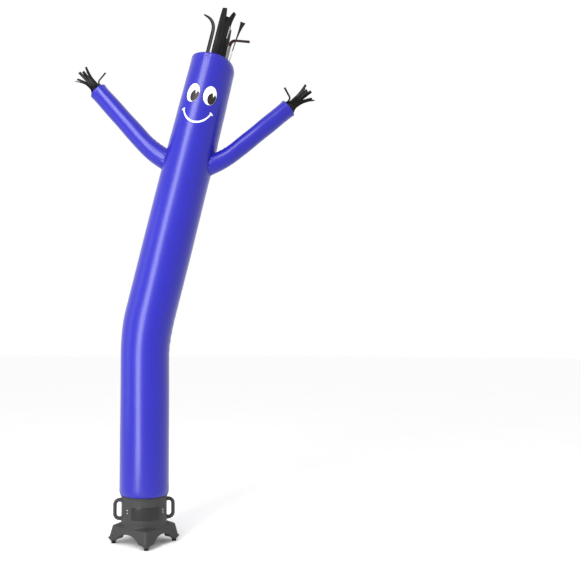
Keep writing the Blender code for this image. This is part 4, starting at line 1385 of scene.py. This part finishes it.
# %% The strap keeps its CAD mesh
webbing, tree, shader = finish("black webbing", {"Sheen Weight": 0.3, "Specular IOR Level": 0.35})
place = object_place(tree)
ribs = put(tree, "ShaderNodeTexWave", {"bands_direction": "Z"},
           {"Vector": place, "Scale": 90.0, "Distortion": 0.4})
slant = put(tree, "ShaderNodeTexWave", {"bands_direction": "DIAGONAL"}, {"Vector": place, "Scale": 160.0})
height = maths(tree, "ADD", ribs.outputs[1], maths(tree, "MULTIPLY", slant.outputs[1], 0.6))
colour = mixed(tree, height, (0.008, 0.008, 0.009), (0.024, 0.024, 0.026))
covered(tree, shader, colour, spread(tree, noise(tree, place, 120.0, 3.0), 0.6, 0.85), height, 0.0004, 0.7)
strap = frame["nodes"]["collar_strap"]
strap.data.materials.clear()
strap.data.materials.append(webbing)

# %% [markdown]
# ## How the cloth is cut
#
# The tube is one rectangle sewn into a sleeve. The ribbons of a comb are cut from one strip.

# %% [markdown]
# ## Floor, light and camera
#
# A pale, seamless floor lets the dark blue read clearly. One tall softbox to the left gives the long, soft
# highlight that shows the roundness of the tube, and a pale world fills the rest. The camera stands 4.3 m in
# front, a little above the middle of the figure's lower half, and looks slightly up.

# %% Floor and light
backdrop, tree, shader = finish("white studio floor", {"Roughness": 0.85, "Specular IOR Level": 0.2})
cloud = noise(tree, object_place(tree), 1.4, 3.0)
feed(tree, mixed(tree, cloud, (0.95, 0.95, 0.95), (0.98, 0.98, 0.98)), shader.inputs["Base Color"])
floor_mesh = bpy.data.meshes.new("floor")
FLOOR_REACH = 60.0
rim = [tuple(point) for point in FLOOR_REACH * radial_steps(round_steps(64))]
floor_mesh.from_pydata(rim, [], [tuple(range(64))])
floor_mesh.materials.append(backdrop)
floor = bpy.data.objects.new("floor", floor_mesh)
bpy.context.scene.collection.objects.link(floor)
floor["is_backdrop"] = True

scene = bpy.context.scene
scene.view_settings.view_transform = "Standard"
world = bpy.data.worlds.new("studio")
world.use_nodes = True
sky = world.node_tree.nodes["Background"]
sky.inputs["Color"].default_value = (1.0, 1.0, 1.0, 1.0)
sky.inputs["Strength"].default_value = 1.0
scene.world = world
SOFTBOXES = (  # angle to the camera's left in degrees, distance, height of the middle, width, height, watts
    ("key", 29.0, 2.2, 2.40, 0.74, 4.8, 92.0),
    ("top", 15.0, 2.3, 3.95, 0.55, 0.9, 11.0),
    ("left fill", 80.0, 3.2, 1.9, 1.20, 3.2, 12.0),
)
target = STAND + 0.15 * ACROSS
for name, degrees, distance, height, width, tall, watts in SOFTBOXES:
    light = bpy.data.lights.new(name, "AREA")
    light.shape = "RECTANGLE"
    light.size, light.size_y = width, tall
    light.energy = watts
    lamp = bpy.data.objects.new(name, light)
    lamp.visible_camera = False
    scene.collection.objects.link(lamp)
    turn = math.radians(degrees)
    outward = -BACK * math.cos(turn) - ACROSS * math.sin(turn)
    lamp.location = target + outward * distance + SKY * height
    aim = outward * -distance if name != "top" else outward * -distance - SKY * 1.2
    lamp.rotation_euler = Vector(aim).to_track_quat("-Z", "Y").to_euler()

# %% Camera
camera = bpy.data.objects.new("camera", bpy.data.cameras.new("camera"))
scene.collection.objects.link(camera)
CAMERA_RIGHT, CAMERA_AWAY, CAMERA_HEIGHT = 0.3103, 4.3, 1.2
PITCH = math.radians(4.43)
camera.data.sensor_width = 36.0
camera.data.lens = 42.84
camera.data.shift_x = 0.1638
camera.data.clip_start = 0.05
camera.data.clip_end = 200.0
camera.location = STAND + CAMERA_RIGHT * ACROSS - CAMERA_AWAY * BACK + CAMERA_HEIGHT * SKY
look = BACK * math.cos(PITCH) + SKY * math.sin(PITCH)
camera.rotation_euler = Vector(look).to_track_quat("-Z", "Y").to_euler()
scene.camera = camera

# %% Compare the finished pieces with the solids
low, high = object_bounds()
growth = (*(cad_low - low), *(high - cad_high))
print("growth beyond the solids in mm:", [round(value * 1000, 1) for value in growth])
